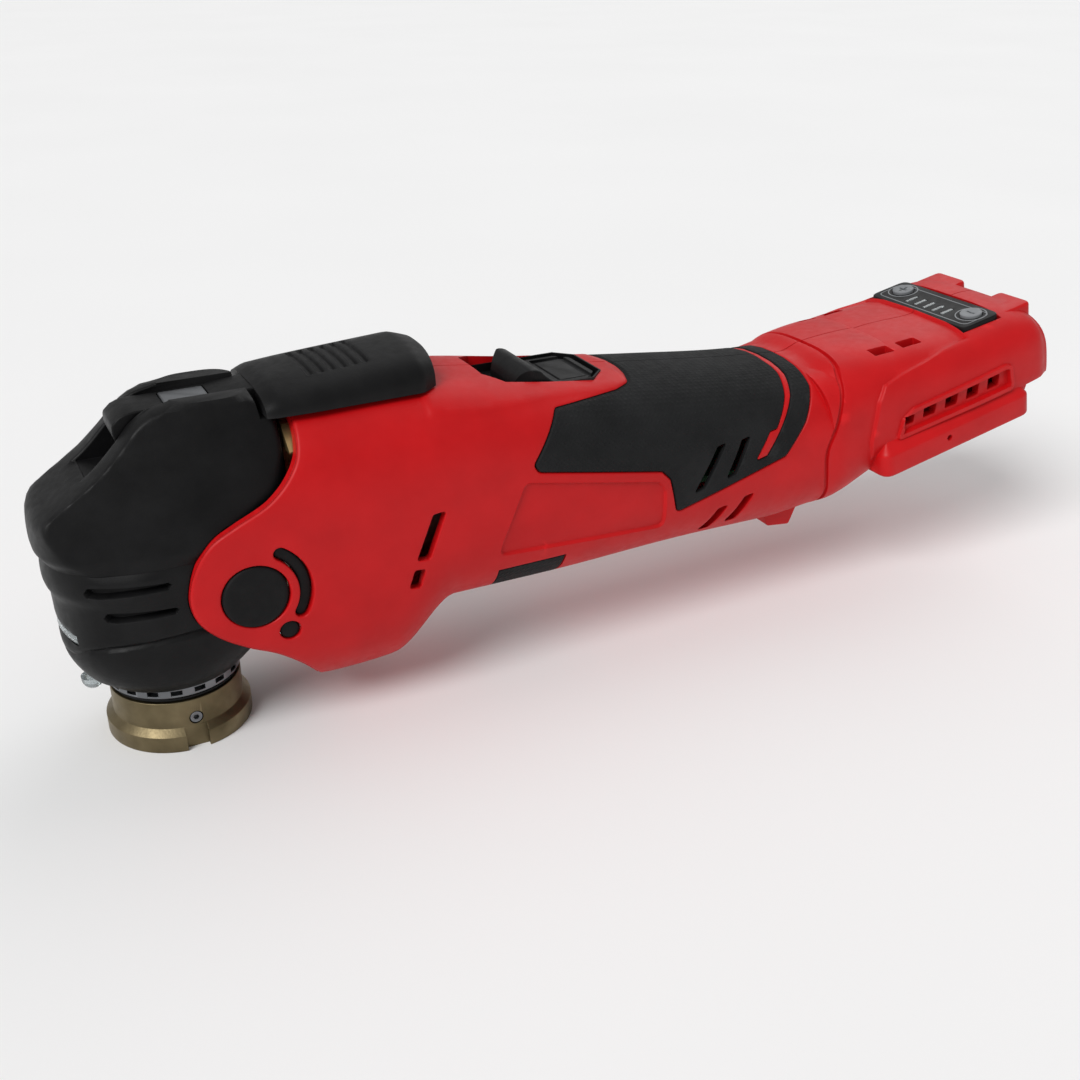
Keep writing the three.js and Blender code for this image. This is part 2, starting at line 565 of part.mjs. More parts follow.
function collarAndSeal() {
  const slots = span(0, 340, 17).map((deg) => box([15.4, 30], [-1.5, 1.5], [16.6, 18]).rotate([0, 0, deg]));
  const collar = minus(ring(SPINDLE_R + 1, COLLAR_R, COLLAR_Z, 36), ...slots);
  place('index_collar', collar, STEEL);
  const [z, r] = [(FLANGE_TOP + COLLAR_Z[0]) / 2, 0.5];
  const section = span(0, 2 * Math.PI, 6).slice(0, 6).map((a) => [16.6 + r * Math.cos(a), z + r * Math.sin(a)]);
  place('dust_seal', turned(section, 36), SOFT);
}

function spindleGroup() {
  const tube = turned([[SPINDLE_BORE, RECESS_DEPTH + 3.2], [SPINDLE_R, RECESS_DEPTH + 3.2], [SPINDLE_R, SPINDLE_TOP],
    [SPINDLE_BORE, SPINDLE_TOP]], 24);
  place('spindle', tube, STEEL);
  const bore = SPINDLE_R + RIM;
  const body = turned([[bore, FLANGE_TOP], [FLANGE_TOP_R, FLANGE_TOP], [FLANGE_TOP_R, 6.4], [FLANGE_R, FLANGE_RIM],
    [FLANGE_R, 0], [15.6, 0], [15.6, 1.1], [RECESS_R, 1.1], [RECESS_R, RECESS_DEPTH],
    [SPINDLE_BORE, RECESS_DEPTH], [SPINDLE_BORE, RECESS_DEPTH + 3], [bore, RECESS_DEPTH + 3]], 40);
  const pins = span(0, 315, 7).map((deg) => disc(1.2, [0, 1.6], 8, 12.6, 0).rotate([0, 0, deg + 22.5]));
  const notch = box([-2.4, 3.6], [-30, -FLANGE_TOP_R], [-1, FLANGE_RIM + 2]);
  const screwHole = rodY(1.9, [-30, -11.6], [1.1, 8.6], 12);
  place('accessory_flange', minus(union(body, ...pins), notch, screwHole), BRONZE);
  const setScrew = minus(rodY(1.6, [-17.3, -12], [1.1, 8.6], 12), rodY(0.8, [-20, -16], [1.1, 8.6], 6));
  place('flange_set_screw', setScrew, STEEL);
  const hub = ring(SPINDLE_R + RIM, HUB_R, [MOTOR_Z - 6, MOTOR_Z + 6], 24);
  const arm = (sign) => {
    const y = [sign * FORK_GAP, sign * (FORK_GAP + 3.2)].sort((a, b) => a - b);
    return box([2, ECCENTRIC_X + 3], y, [MOTOR_Z - 4.5, MOTOR_Z + 4.5]);
  };
  const fork = minus(union(hub, arm(-1), arm(1)), disc(SPINDLE_R + RIM, [40, 70], 24));
  place('drive_fork', fork, STEEL);
  place('lower_spindle_bearing', ring(SPINDLE_R + RIM, 12, [22.3, 30]), STEEL);
  place('upper_spindle_bearing', ring(SPINDLE_R + RIM, 12, [63.5, 68.6]), STEEL);
}

function clampGroup() {
  const top = PIVOT_Z - CAM_R - 0.7;
  const bolt = turned([[0, 0.5], [7.6, 0.5], [8.4, 1.2], [8.4, 3.2], [BOLT_R, 3.8], [BOLT_R, top - 3], [5.6, top - 2.6],
    [5.6, top - 0.4], [4.8, top], [0, top]], 24);
  const hex = disc(3, [-1, 2.4], 6);
  place('clamp_bolt', minus(bolt, hex), STEEL);
  const turns = 3;
  const wire = 0.45;
  const [low, high] = [SPINDLE_TOP + wire + 0.3, top - 2.9 - wire];
  class Helix extends THREE.Curve {
    getPoint(t) {
      const a = 2 * Math.PI * turns * t;
      return new THREE.Vector3(5 * Math.cos(a), 5 * Math.sin(a), low + (high - low) * t);
    }
  }
  const section = new THREE.Shape(span(0, 2 * Math.PI, 6).slice(0, 6)
    .map((a) => new THREE.Vector2(wire * Math.cos(a), wire * Math.sin(a))));
  const coil = new THREE.ExtrudeGeometry(section, { steps: 36, extrudePath: new Helix(), bevelEnabled: false });
  place('clamp_spring', solid(coil), STEEL);
}

// ---- lever --------------------------------------------------------------------------------------------
function lever() {
  const arch = (inset, from, to) => loft(span(from, to, 6), 24, (x, c, s, out) => {
    const t = (x - LEVER_FRONT) / (LEVER_REAR - LEVER_FRONT);
    const half = LEVER_HALF - 1.4 * Math.abs(t - 0.25) - (t > 0.9 ? 30 * (t - 0.9) : 0);
    const crown = LEVER_CROWN[0] + (LEVER_CROWN[1] - LEVER_CROWN[0]) * t ** 0.8 - (t > 0.9 ? 25 * (t - 0.9) ** 1.2 : 0);
    out.set(x, (half - inset) * power(c, 2.5), LEVER_BASE + (crown - inset) * power(s, 2.5));
  }).intersect(box([0, 100], across, [LEVER_BASE, 120]));
  const plate = minus(arch(0, LEVER_FRONT, LEVER_REAR), arch(LEVER_WALL, LEVER_FRONT + 3, LEVER_REAR - 2),
    bodyLoft(-1, LEVER_FRONT + 6, LEVER_REAR + 5));
  const camPoints = span(-205, -90, 10).map((deg) => {
    // the cam grows steadily from CAM_R, under the pin, as the lever opens
    const opened = -90 - deg;
    const r = CAM_R + (CLAMP_STROKE * Math.min(opened, LEVER_RANGE)) / LEVER_RANGE;
    const a = (deg * Math.PI) / 180;
    return [r * Math.cos(a), PIVOT_Z + r * Math.sin(a)];
  });
  const arm = [[2, PIVOT_Z + 5.8], [-3.6, PIVOT_Z + 5.4], ...camPoints, [8, PIVOT_Z - 4.6], [18, PIVOT_Z - 1.2],
    [LEVER_FRONT + 5, LEVER_BASE], [LEVER_FRONT + 5, LEVER_BASE + 5.4], [18, PIVOT_Z + 6.2]];
  const tongue = prism(arm, [-LEVER_SLOT + 0.6, LEVER_SLOT - 0.6]);
  const strapBed = box([6, 18], [-4.6, 4.6], [PIVOT_Z + 4.6, PIVOT_Z + 20]);
  place('lever', minus(union(plate, tongue), rodY(PIN_R + 0.1, across, [0, PIVOT_Z], 20), strapBed), BLACK);
  place('lever_strap', box([6.3, 17.7], [-4.3, 4.3], [PIVOT_Z + 4.9, PIVOT_Z + 6.3]), GREY);
  place('lever_pin', rodY(PIN_R - 0.1, [-12, 12], [0, PIVOT_Z], 20), STEEL);
}

// ---- motor --------------------------------------------------------------------------------------------
function motor() {
  const [x0, x1] = MOTOR_X;
  const can = minus(rodX(MOTOR_R, [x0, x1], MOTOR_Z, 28), rodX(MOTOR_R - 1.4, [x0 + 1.6, x1 + 9], MOTOR_Z, 28),
    rodX(6.9, [x0 - 9, x0 + 9], MOTOR_Z, 20));
  place('motor_can', can, STEEL);
  place('stator_magnets', tubeX(MAGNET_R, MOTOR_R - 1.7, [x0 + 5, x1 - 12], MOTOR_Z), GREY);
  const cap = minus(rodX(MOTOR_R - 1.7, [x1 - 4, x1 + 2], MOTOR_Z), rodX(6.9, [x1 - 9, x1 + 9], MOTOR_Z, 20));
  place('motor_end_cap', cap, BLACK);
  for (const [name, at] of [['front_motor_bearing', x0 - 3], ['rear_motor_bearing', x1 - 3]]) {
    place(name, tubeX(2.5 + RIM, 6.6, [at, at + 5], MOTOR_Z, 20), STEEL);
  }
  const slots = span(0, 288, 4).map((deg) => box([x0, x1], [-1, 1], [7, 20]).rotate([deg, 0, 0])
    .translate([0, 0, MOTOR_Z]));
  const core = minus(rodX(CORE_R, [x0 + 8, x1 - 16], MOTOR_Z), rodX(2.5 + 0.1, [x0, x1], MOTOR_Z, 16), ...slots);
  place('rotor_core', core, COPPER);
  place('commutator', tubeX(2.6, 5.4, [x1 - 13, x1 - 6], MOTOR_Z, 16), COPPER);
  const journal = rodX(2.5, [ECCENTRIC_X + 4, x1 + 5], MOTOR_Z, 16);
  const crank = rodX(2, [ECCENTRIC_X - 3, ECCENTRIC_X + 4.5], MOTOR_Z + ECCENTRIC_E, 16);
  place('rotor_shaft', union(journal, crank), STEEL);
  const eccentric = tubeX(2 + 0.1, BEARING_R, [ECCENTRIC_X - 2.5, ECCENTRIC_X + 2.5], MOTOR_Z + ECCENTRIC_E);
  place('eccentric_bearing', eccentric, STEEL);
  const hub = tubeX(2.6, 6, [47, 55], MOTOR_Z, 16);
  const plate = tubeX(5, 15, [53.4, 55], MOTOR_Z, 24);
  const blades = span(0, 315, 7).map((deg) => box([47.5, 54], [-0.6, 0.6], [5, 15])
    .rotate([deg, 0, 0]).translate([0, 0, MOTOR_Z]));
  place('cooling_fan', union(hub, plate, ...blades), BLACK);
}

function mountingPlate() {
  const x = [COVER_BACK + 1.2, COVER_BACK + 3.4];
  const plate = minus(rodX(21, x, MOTOR_Z, 32), rodX(8, [0, 60], MOTOR_Z, 20));
  const arms = union(box(x, [-14, 14], [MOTOR_Z + 12, 80]), box(x, [-19.6, 19.6], [79, 85.4]));
  const tab = arms.intersect(bodyLoft(WALL + GAP, -6, 60));
  place('mounting_plate', union(plate, minus(tab, rodX(8, [0, 60], MOTOR_Z, 20))), BRASS);
}

// ---- switch and electronics ---------------------------------------------------------------------------
function switchGroup() {
  const [x0, x1] = SLIDER_X;
  const base = switchFloor + GAP;
  const profile = [[x0, base], [x1, base], [x1, base + 1.6], [x0 + 12, base + 1.9], [x0 + 9.5, base + 3.6],
    [x0 + 7, base + 6.2], [x0 + 4, base + 6.6], [x0 + 1.4, base + 4.4], [x0, base + 1.8]];
  const thumb = prism(profile, [-SWITCH_HALF + 4, SWITCH_HALF - 4]);
  const stem = box([x0 + 2, x0 + 8], [-2.6, 2.6], [switchFloor - WALL - 0.9, base + 1]);
  place('switch_slider', union(thumb, stem), BLACK);
  const linkTop = switchFloor - WALL - 1.2;
  place('switch_link', box([x0 + 2, x1 + 2], [-4, 4], [linkTop - 1.6, linkTop]), BLACK);
  place('switch_body', box([x1 + 3, x1 + 23], [-7, 7], [58, linkTop - 2.4]), BLACK);
}

function electronics() {
  place('speed_board', box([along(155), along(190)], [-15, 15], [44, 45.6]), GREEN);
  place('capacitor', disc(5, [46, 62], 16, along(163), -7), BLACK);
  place('heat_sink', box([along(172), along(186)], [2, 13], [46, 58]), ALU);
  place('terminal_block', onFoot(terminalBox(0)), BLACK);
  for (let i = 0; i < BLADES; i += 1) {
    const y = (i - (BLADES - 1) / 2) * 8.6;
    const blade = box([BLOCK.u[1] + GAP, BLOCK.u[1] + 14], [y - 0.5, y + 0.5], [3.4, 8.6]);
    place(`contact_blade_${i + 1}`, onFoot(blade), COPPER);
  }
}

function speedPanel() {
  const v = [FOOT_TOP - 2.2, FOOT_TOP + 0.5];
  const corner = 3;
  const [u0, u1] = PANEL_U;
  const outline = [[u0 + corner, -PANEL_HALF], [u1 - corner, -PANEL_HALF], [u1, -PANEL_HALF + corner],
    [u1, PANEL_HALF - corner], [u1 - corner, PANEL_HALF], [u0 + corner, PANEL_HALF], [u0, PANEL_HALF - corner],
    [u0, -PANEL_HALF + corner]].map(([u, y]) => new THREE.Vector2(u, y));
  const plate = solid(new THREE.ExtrudeGeometry(new THREE.Shape(outline), { depth: v[1] - v[0], bevelEnabled: false })
    .translate(0, 0, v[0]));
  const middle = (u0 + u1) / 2;
  const wells = [-1, 1].map((sign) => disc(BUTTON_R + GAP, [v[0] + 1, 60], 20, middle + 1.4, sign * BUTTON_Y));
  const barAt = (i) => [middle - 1.6, (i - (BARS - 1) / 2) * 4.2];
  const barBox = (i, d, top) => {
    const [u, y] = barAt(i);
    return box([u - 2.4 - d, u + 2.4 + d], [y - 0.7 - d, y + 0.7 + d], [v[0] + 0.6, top]);
  };
  const indexes = span(0, BARS - 1, BARS - 1);
  const bed = box([middle - 4.6, middle + 1.4], [-10.6, 10.6], [v[0] - 1, v[0] + 1.3]);
  place('speed_panel', onFoot(minus(plate, ...wells, bed, ...indexes.map((i) => barBox(i, 0.2, 60)))), BLACK);
  const strip = box([middle - 4.2, middle + 1], [-10.2, 10.2], [v[0], v[0] + 1]);
  place('light_guide', onFoot(union(strip, ...indexes.map((i) => barBox(i, 0, v[1] + 0.1)))), CLEAR);
  const buttons = { minus_button: -1, plus_button: 1 };
  for (const [name, sign] of Object.entries(buttons)) {
    const lift = v[0] + 1 + BUTTON_TRAVEL + 0.1;
    place(name, onFoot(disc(BUTTON_R, [lift, v[1] + 0.8], 20, middle + 1.4, sign * BUTTON_Y)), GREY);
  }
}

function screws() {
  SCREWS.forEach((at, i) => {
    const shaft = rodY(SCREW_R, [SCREW_TIP, HEAD_SEAT + 1], at, 12);
    const head = rodY(SCREW_HEAD, [HEAD_SEAT + GAP, HEAD_SEAT + 2.6], at, 14);
    const drive = rodY(1.2, [HEAD_SEAT + 1.2, HEAD_SEAT + 9], at, 6);
    place(`casing_screw_${i + 1}`, minus(union(shaft, head), drive), STEEL);
  });
}

casingHalves();
overmould();
bumpers();
gearbox();
headCover();
headLight();
collarAndSeal();
spindleGroup();
clampGroup();
lever();
motor();
mountingPlate();
switchGroup();
electronics();
speedPanel();
screws();

const bounds = new THREE.Box3().setFromObject(tool);
const middle = bounds.getCenter(new THREE.Vector3());
tool.position.set(-middle.x, -middle.y, -bounds.min.z);

export default tool;
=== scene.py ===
"""The looks of a cordless oscillating multi-tool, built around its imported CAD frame.

Shapes are worked out in millimetres in the tool's own frame: x = 0 and y = 0 on the spindle axis, z = 0 on
the accessory face, the handle along +X. publish() moves each finished mesh to the row frame, in metres.
"""
import json
import math

import bmesh
import bpy
import numpy as np
from mathutils import Matrix, Vector, geometry


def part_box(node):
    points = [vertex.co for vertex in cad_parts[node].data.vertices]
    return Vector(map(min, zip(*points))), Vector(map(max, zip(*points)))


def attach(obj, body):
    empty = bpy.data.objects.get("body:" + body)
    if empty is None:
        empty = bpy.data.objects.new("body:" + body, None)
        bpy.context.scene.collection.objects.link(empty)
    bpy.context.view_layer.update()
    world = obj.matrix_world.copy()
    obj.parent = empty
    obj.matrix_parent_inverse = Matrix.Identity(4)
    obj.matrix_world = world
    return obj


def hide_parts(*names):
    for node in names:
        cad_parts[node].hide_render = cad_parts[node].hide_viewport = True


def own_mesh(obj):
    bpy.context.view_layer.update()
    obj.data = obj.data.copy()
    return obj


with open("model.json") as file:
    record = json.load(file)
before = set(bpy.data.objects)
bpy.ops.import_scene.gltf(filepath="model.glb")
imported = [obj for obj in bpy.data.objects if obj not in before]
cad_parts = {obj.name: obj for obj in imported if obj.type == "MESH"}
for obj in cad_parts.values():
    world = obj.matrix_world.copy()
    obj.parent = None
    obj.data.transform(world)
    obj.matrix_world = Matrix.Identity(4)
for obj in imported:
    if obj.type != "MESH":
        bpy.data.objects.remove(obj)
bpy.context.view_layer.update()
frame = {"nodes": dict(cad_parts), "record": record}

MM = 0.001
low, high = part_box("spindle")
AXIS_X = (low.x + high.x) / 2  # the spindle axis in the row frame, metres

# ---- camera ----
CAMERA_AT = Vector((-0.174586, -0.319109, 0.202112))
CAMERA_YAW = 26.604  # degrees from +Y towards +X
CAMERA_DOWN = 25.932
CAMERA_ROLL = -0.389
CAMERA_LENS = 43.3


def placed(name, data):
    """A new object in the scene."""
    obj = bpy.data.objects.new(name, data)
    bpy.context.scene.collection.objects.link(obj)
    return obj


def make_camera():
    yaw, down, roll = (math.radians(a) for a in (CAMERA_YAW, CAMERA_DOWN, CAMERA_ROLL))
    ahead = Vector((math.cos(down) * math.sin(yaw), math.cos(down) * math.cos(yaw), -math.sin(down)))
    level = ahead.cross(Vector((0, 0, 1))).normalized()
    upright = level.cross(ahead)
    right = math.cos(roll) * level + math.sin(roll) * upright
    up = right.cross(ahead)
    data = bpy.data.cameras.new("camera")
    data.lens = CAMERA_LENS
    data.clip_start, data.clip_end = 0.01, 20
    camera = placed("camera", data)
    camera.matrix_world = Matrix.Translation(CAMERA_AT) @ Matrix((right, up, -ahead)).transposed().to_4x4()
    bpy.context.scene.camera = camera


make_camera()

# ---- driving dimensions, in millimetres, as in the CAD model ----
WALL, SEAM, GAP, SKIN = 2.6, 0.15, 0.25, 1.5
BODY_END = 226
# handle sections: x, top, bottom, half width, squareness
BODY = [
    (-6, 84, 16, 25, 3.0), (20, 89, 12, 27.2, 3.0), (40, 90, 9, 28.5, 3.0), (57, 90, 10, 29, 3.0),
    (76, 89, 25, 29, 3.0), (110, 84.5, 24.5, 28.5, 2.8), (150, 80, 25, 27.5, 2.6), (184, 76.6, 24.5, 27, 2.5),
    (198, 75.8, 26.5, 27.5, 2.6), (205, 78, 28.5, 28.7, 3.0), (BODY_END, 79.5, 38, 28.8, 3.4),
]
FRONT_EDGE = [
    (36, 100), (34.2, 83), (31.2, 76), (24.6, 69.5), (15.7, 65), (9, 61), (4.6, 55), (2.4, 47.5), (3.6, 40.5),
    (8.6, 34.6), (15.7, 29.8), (23.5, 25.6), (31, 19), (36, 11), (38, 0),
]
FOOT_PITCH, FOOT_AT = 12, (217.8, 40.1)
FOOT_LENGTH, FOOT_TOP = 71, 32.9
RAIL_LENGTH, RAIL_HALF, RAIL_HEIGHT = 60, 33.2, 12
SLOT_HALF, SLOT_HEIGHT, SLOT_FRONT, LIP = 26, 9.5, 8, 3
BLOCK_U, BLOCK_HALF, BLOCK_V = (10, 21), 19, (2.6, 15)  # the terminal block at the front of the battery slot
# foot sections: distance along the foot, top, half width
FOOT = [
    (-14, 37.8, 27.8), (-2, 37.4, 28.7), (20, 36.2, 29.6), (42, FOOT_TOP + 0.2, 30.2),
    (58, FOOT_TOP - 0.3, 30.1), (66, FOOT_TOP - 1.6, 29.6), (FOOT_LENGTH, FOOT_TOP - 5, 27.6),
]
EAR, PUCK_R = (18.6, 45), 8.6
ARC_R, ARC_DEG = (11.4, 14.5), (-30, 57)
PEG, PEG_R = (26.5, 33.3), 2.6
SWITCH_X, SWITCH_HALF, SWITCH_DEPTH = (91, 128.5), 13, 4.2
SLIDER_X, SLIDER_TRAVEL = (100.5, 126.5), 8
PAD_X, PAD_TOP = (87, 108), 36
SCREWS = [(49, 18), (84, 79.6), (128, 32.5), (197, 48), (245, 66)]
SCREW_HEAD, HEAD_SEAT = 2.9, 13
GRIP = [
    (138.4, 92), (137, 81.4), (134.5, 79.8), (129, 79.2), (107, 79), (97.3, 66.5), (98.6, 64.4),
    (138.4, 56.6), (141.6, 53.4), (144.6, 42.2), (182.5, 52.8), (190, 62), (195, 71), (196.5, 92),
]
GRIP_SLOTS = [
    [(160.9, 61.1), (157.4, 60.3), (149.6, 47), (153.6, 48)],
    [(169.8, 61.5), (166.2, 60.8), (160.8, 49.4), (164.6, 50.4)],
]
ACCENT = [
    (189.4, 92), (189.2, 74), (187, 69.6), (180.6, 61), (175.6, 54.2), (171.4, 53.2), (176.8, 61.2),
    (179.4, 61.6), (185, 69.6), (187.4, 74.4), (187.6, 92),
]
RED_VENTS = [
    [(163.6, 40.4), (159.8, 39.4), (155.4, 31), (159.4, 31.6)],
    [(172.6, 42.8), (168.8, 41.8), (164.2, 32.6), (168.2, 33.2)],
]
SIDE_VENTS = [
    [(66.9, 58.6), (70.8, 59), (65.5, 45.8), (61.6, 46)],
    [(61, 43.4), (64.2, 43.2), (62.6, 37.8), (59.2, 38.2)],
]
PANEL = [(94.4, 61.9), (137.6, 53.2), (139.8, 50), (140.6, 37.8), (101, 40.6), (86.6, 41.6), (87.5, 45.9)]
DECK_EDGE = [(70, 83.4), (84, 81.8), (106, 81.2), (134, 79.4), (138, 92), (70, 92)]
NECK = [
    (206.2, 84), (205.4, 76.5), (204, 73), (203, 68.4), (200.4, 58.4), (198, 51), (198.8, 43), (201.3, 33.8),
    (203, 22),
]
# head cover sections: z, front, rear, half width, squareness
COVER = [
    (19, 20, 19, 19, 2.0), (22, 23.5, 22, 21, 2.1), (31, 27.2, 30, 23, 2.3), (46, 28, 34, 23.6, 2.4),
    (50, 29.6, 34, 24.2, 2.5), (62, 30.4, 34, 24.2, 2.7), (66.5, 29.9, 34, 23.8, 3.2),
    (69, 28.2, 34, 23.4, 4.0), (72, 24, 34, 22.8, 4.6), (75, 19.4, 34, 22, 4.8), (79, 13.8, 34, 21, 4.8),
    (85, 7.6, 33, 19, 4.6),
    (90, 3, 31, 17, 4.2), (92.5, -1, 29, 15, 3.6), (93.8, -6, 27, 12.5, 3.0),
]
COVER_BACK, MOTOR_Z = 31.4, 54
PIVOT_Z, PIN_R = 86, 2
LEVER_SLOT, LEVER_SLOT_FLOOR = 7, 76.6
LEVER_X, LEVER_HALF, LEVER_BASE = (28.3, 75), 18.5, 88.4
LEVER_CROWN = (6.2, 10.6)
PANEL_U, PANEL_HALF = (42, 57.2), 22.6
BUTTON_R, BUTTON_Y = 3.5, 16.2

WIDE = 60  # half length of a cutter that goes right across the tool
ACROSS = (-WIDE, WIDE)


# ---- outlines ----
def monotone(rows):
    """A smooth curve through rows of numbers, read at the first one, that never overshoots its rows."""
    rows = np.array(rows, float)
    x, y = rows[:, 0], rows[:, 1:]
    h = np.diff(x)[:, None]
    d = np.diff(y, axis=0) / h
    slope = np.zeros_like(y)
    same = d[:-1] * d[1:] > 0
    with np.errstate(divide="ignore", invalid="ignore"):
        inner = 3 * (h[:-1] + h[1:]) / ((2 * h[1:] + h[:-1]) / d[:-1] + (h[1:] + 2 * h[:-1]) / d[1:])
    slope[1:-1] = np.where(same, inner, 0)

    def read(at):
        at = np.clip(np.asarray(at, float), x[0], x[-1])
        i = np.clip(np.searchsorted(x, at, side="right") - 1, 0, len(x) - 2)
        step = h[i]
        s = ((at - x[i])[:, None]) / step
        p, q, m, n = y[i], y[i + 1], slope[i] * step, slope[i + 1] * step
        return p + s * m + s**2 * (3 * (q - p) - 2 * m - n) + s**3 * (2 * (p - q) + m + n)

    return read


def spline(points, per=8):
    """An open Catmull-Rom curve through the points."""
    p = np.array(points, float)
    p = np.vstack([p[0], p, p[-1]])
    out = []
    for i in range(1, len(p) - 2):
        t = np.linspace(0, 1, per, endpoint=False)[:, None]
        a, b, c, d = p[i - 1], p[i], p[i + 1], p[i + 2]
        bend, twist = 2 * a - 5 * b + 4 * c - d, 3 * b - a - 3 * c + d
        out.append(0.5 * (2 * b + (c - a) * t + bend * t**2 + twist * t**3))
    out.append(p[-1][None])
    return np.vstack(out)


def rounded(points, radius, steps=5):
    """A closed outline with its corners rounded off."""
    p = [Vector(q) for q in points]
    out = []
    for i, corner in enumerate(p):
        back, on = p[i - 1] - corner, p[(i + 1) % len(p)] - corner
        turn = back.angle(on, math.pi)
        reach = min(radius / max(math.tan(turn / 2), 0.05), back.length * 0.48, on.length * 0.48)
        a, b = corner + back.normalized() * reach, corner + on.normalized() * reach
        for k in range(steps + 1):
            t = k / steps
            out.append((1 - t) ** 2 * a + 2 * t * (1 - t) * corner + t * t * b)
    return np.array([tuple(q) for q in out])


def dense(line, step, closed=True):
    """The outline with points no further apart than step."""
    line = np.asarray(line, float)
    ends = np.roll(line, -1, axis=0) if closed else line[1:]
    out = []
    for a, b in zip(line, ends):
        count = max(1, math.ceil(np.linalg.norm(b - a) / step))
        out.extend(a + (b - a) * k / count for k in range(count))
    if not closed:
        out.append(line[-1])
    return np.array(out)


def area(line):
    x, y = line[:, 0], line[:, 1]
    return 0.5 * np.sum(x * np.roll(y, -1) - np.roll(x, -1) * y)


def grown(line, d, closed=True):
    """The outline moved outwards by d, or an open line moved to its left."""
    line = np.asarray(line, float)
    before = np.roll(line, 1, axis=0) if closed else np.vstack([line[:1], line[:-1]])
    after = np.roll(line, -1, axis=0) if closed else np.vstack([line[1:], line[-1:]])
    e, f = line - before, after - line
    e = np.where(np.linalg.norm(e, axis=1, keepdims=True) < 1e-9, f, e)
    f = np.where(np.linalg.norm(f, axis=1, keepdims=True) < 1e-9, e, f)
    e /= np.linalg.norm(e, axis=1, keepdims=True)
    f /= np.linalg.norm(f, axis=1, keepdims=True)
    normal = np.stack([-(e + f)[:, 1], (e + f)[:, 0]], 1)
    normal /= np.maximum(np.linalg.norm(normal, axis=1, keepdims=True), 1e-9)
    reach = 1 / np.maximum(0.4, np.sum(normal * np.stack([-f[:, 1], f[:, 0]], 1), 1))
    sign = -1 if closed and area(line) > 0 else 1
    return line + sign * d * normal * reach[:, None]


def distance(x, y, line, closed=True):
    """How far each point is from the line."""
    line = np.asarray(line, float)
    ends = np.roll(line, -1, axis=0) if closed else line[1:]
    best = np.full(len(x), 1e9)
    for (ax, ay), (bx, by) in zip(line, ends):
        dx, dy = bx - ax, by - ay
        t = np.clip(((x - ax) * dx + (y - ay) * dy) / max(dx * dx + dy * dy, 1e-12), 0, 1)
        best = np.minimum(best, (x - ax - t * dx) ** 2 + (y - ay - t * dy) ** 2)
    return np.sqrt(best)


def within(x, y, line):
    """Which points lie inside the closed line."""
    line = np.asarray(line, float)
    odd = np.zeros(len(x), bool)
    for (ax, ay), (bx, by) in zip(line, np.roll(line, -1, axis=0)):
        if ay != by:
            odd ^= ((ay > y) != (by > y)) & (x < (bx - ax) * (y - ay) / (by - ay) + ax)
    return odd


def outside(x, y, line):
    """Distance from a closed line, below zero inside it."""
    return np.where(within(x, y, line), -1, 1) * distance(x, y, line)


def ease(t):
    t = np.clip(t, 0, 1)
    return t * t * (3 - 2 * t)


def rounding(d, radius):
    """How far a rounded edge lies below its surface, at a distance d from the cut."""
    left = radius - np.clip(d, 0, radius)
    return radius - np.sqrt(np.maximum(radius**2 - left**2, 0))


def groove(d, half, deep):
    return deep * ease(1 - np.abs(d) / half)


# ---- solids ----
def solid(verts, faces):
    mesh = bpy.data.meshes.new("work")
    mesh.from_pydata([tuple(map(float, v)) for v in verts], [], [tuple(map(int, f)) for f in faces])
    work = bmesh.new()
    work.from_mesh(mesh)
    bmesh.ops.remove_doubles(work, verts=work.verts, dist=1e-5)
    bmesh.ops.recalc_face_normals(work, faces=work.faces)
    work.to_mesh(mesh)
    work.free()
    return placed("work", mesh)


def combine(base, operation, *others):
    for other in others:
        modifier = base.modifiers.new("boolean", "BOOLEAN")
        modifier.operation, modifier.solver, modifier.object = operation, "MANIFOLD", other
        graph = bpy.context.evaluated_depsgraph_get()
        mesh = bpy.data.meshes.new_from_object(base.evaluated_get(graph))
        base.modifiers.clear()
        old, base.data = base.data, mesh
        bpy.data.meshes.remove(old)
        spent = other.data
        bpy.data.objects.remove(other)
        bpy.data.meshes.remove(spent)
    return base


def cut(base, *others):
    return combine(base, "DIFFERENCE", *others)


def join(base, *others):
    return combine(base, "UNION", *others)


def common(base, *others):
    return combine(base, "INTERSECT", *others)


def copy_of(obj):
    return placed("work", obj.data.copy())


def prism(line, ends, plane="xz"):
    """A closed outline carried from one end to the other, across the tool, or upwards for plane xy."""
    line = np.asarray(line, float)
    n = len(line)
    rings = []
    for end in ends:
        flat = np.full(n, float(end))
        order = (line[:, 0], flat, line[:, 1]) if plane == "xz" else (line[:, 0], line[:, 1], flat)
        rings.append(np.stack(order, 1))
    faces = [(i, (i + 1) % n, n + (i + 1) % n, n + i) for i in range(n)]
    return solid(np.vstack(rings), [tuple(range(n)), tuple(range(2 * n - 1, n - 1, -1)), *faces])


def box(x, y, z):
    return prism([(x[0], y[0]), (x[1], y[0]), (x[1], y[1]), (x[0], y[1])], z, "xy")


def turned(profile, sides=96, at=(0, 0)):
    """A solid of revolution about a vertical axis, from [radius, z] points on a closed profile."""
    angles = np.linspace(0, 2 * math.pi, sides, endpoint=False)
    count = len(profile)
    verts = [(at[0] + r * math.cos(a), at[1] + r * math.sin(a), z) for a in angles for r, z in profile]
    faces = []
    for i in range(sides):
        for k in range(count):
            j, m = (i + 1) % sides, (k + 1) % count
            if profile[k][0] > 1e-6 or profile[m][0] > 1e-6:
                faces.append((i * count + k, j * count + k, j * count + m, i * count + m))
    return solid(verts, faces)


def drum(radius, z):
    return turned([(0, z[0]), (radius, z[0]), (radius, z[1]), (0, z[1])])


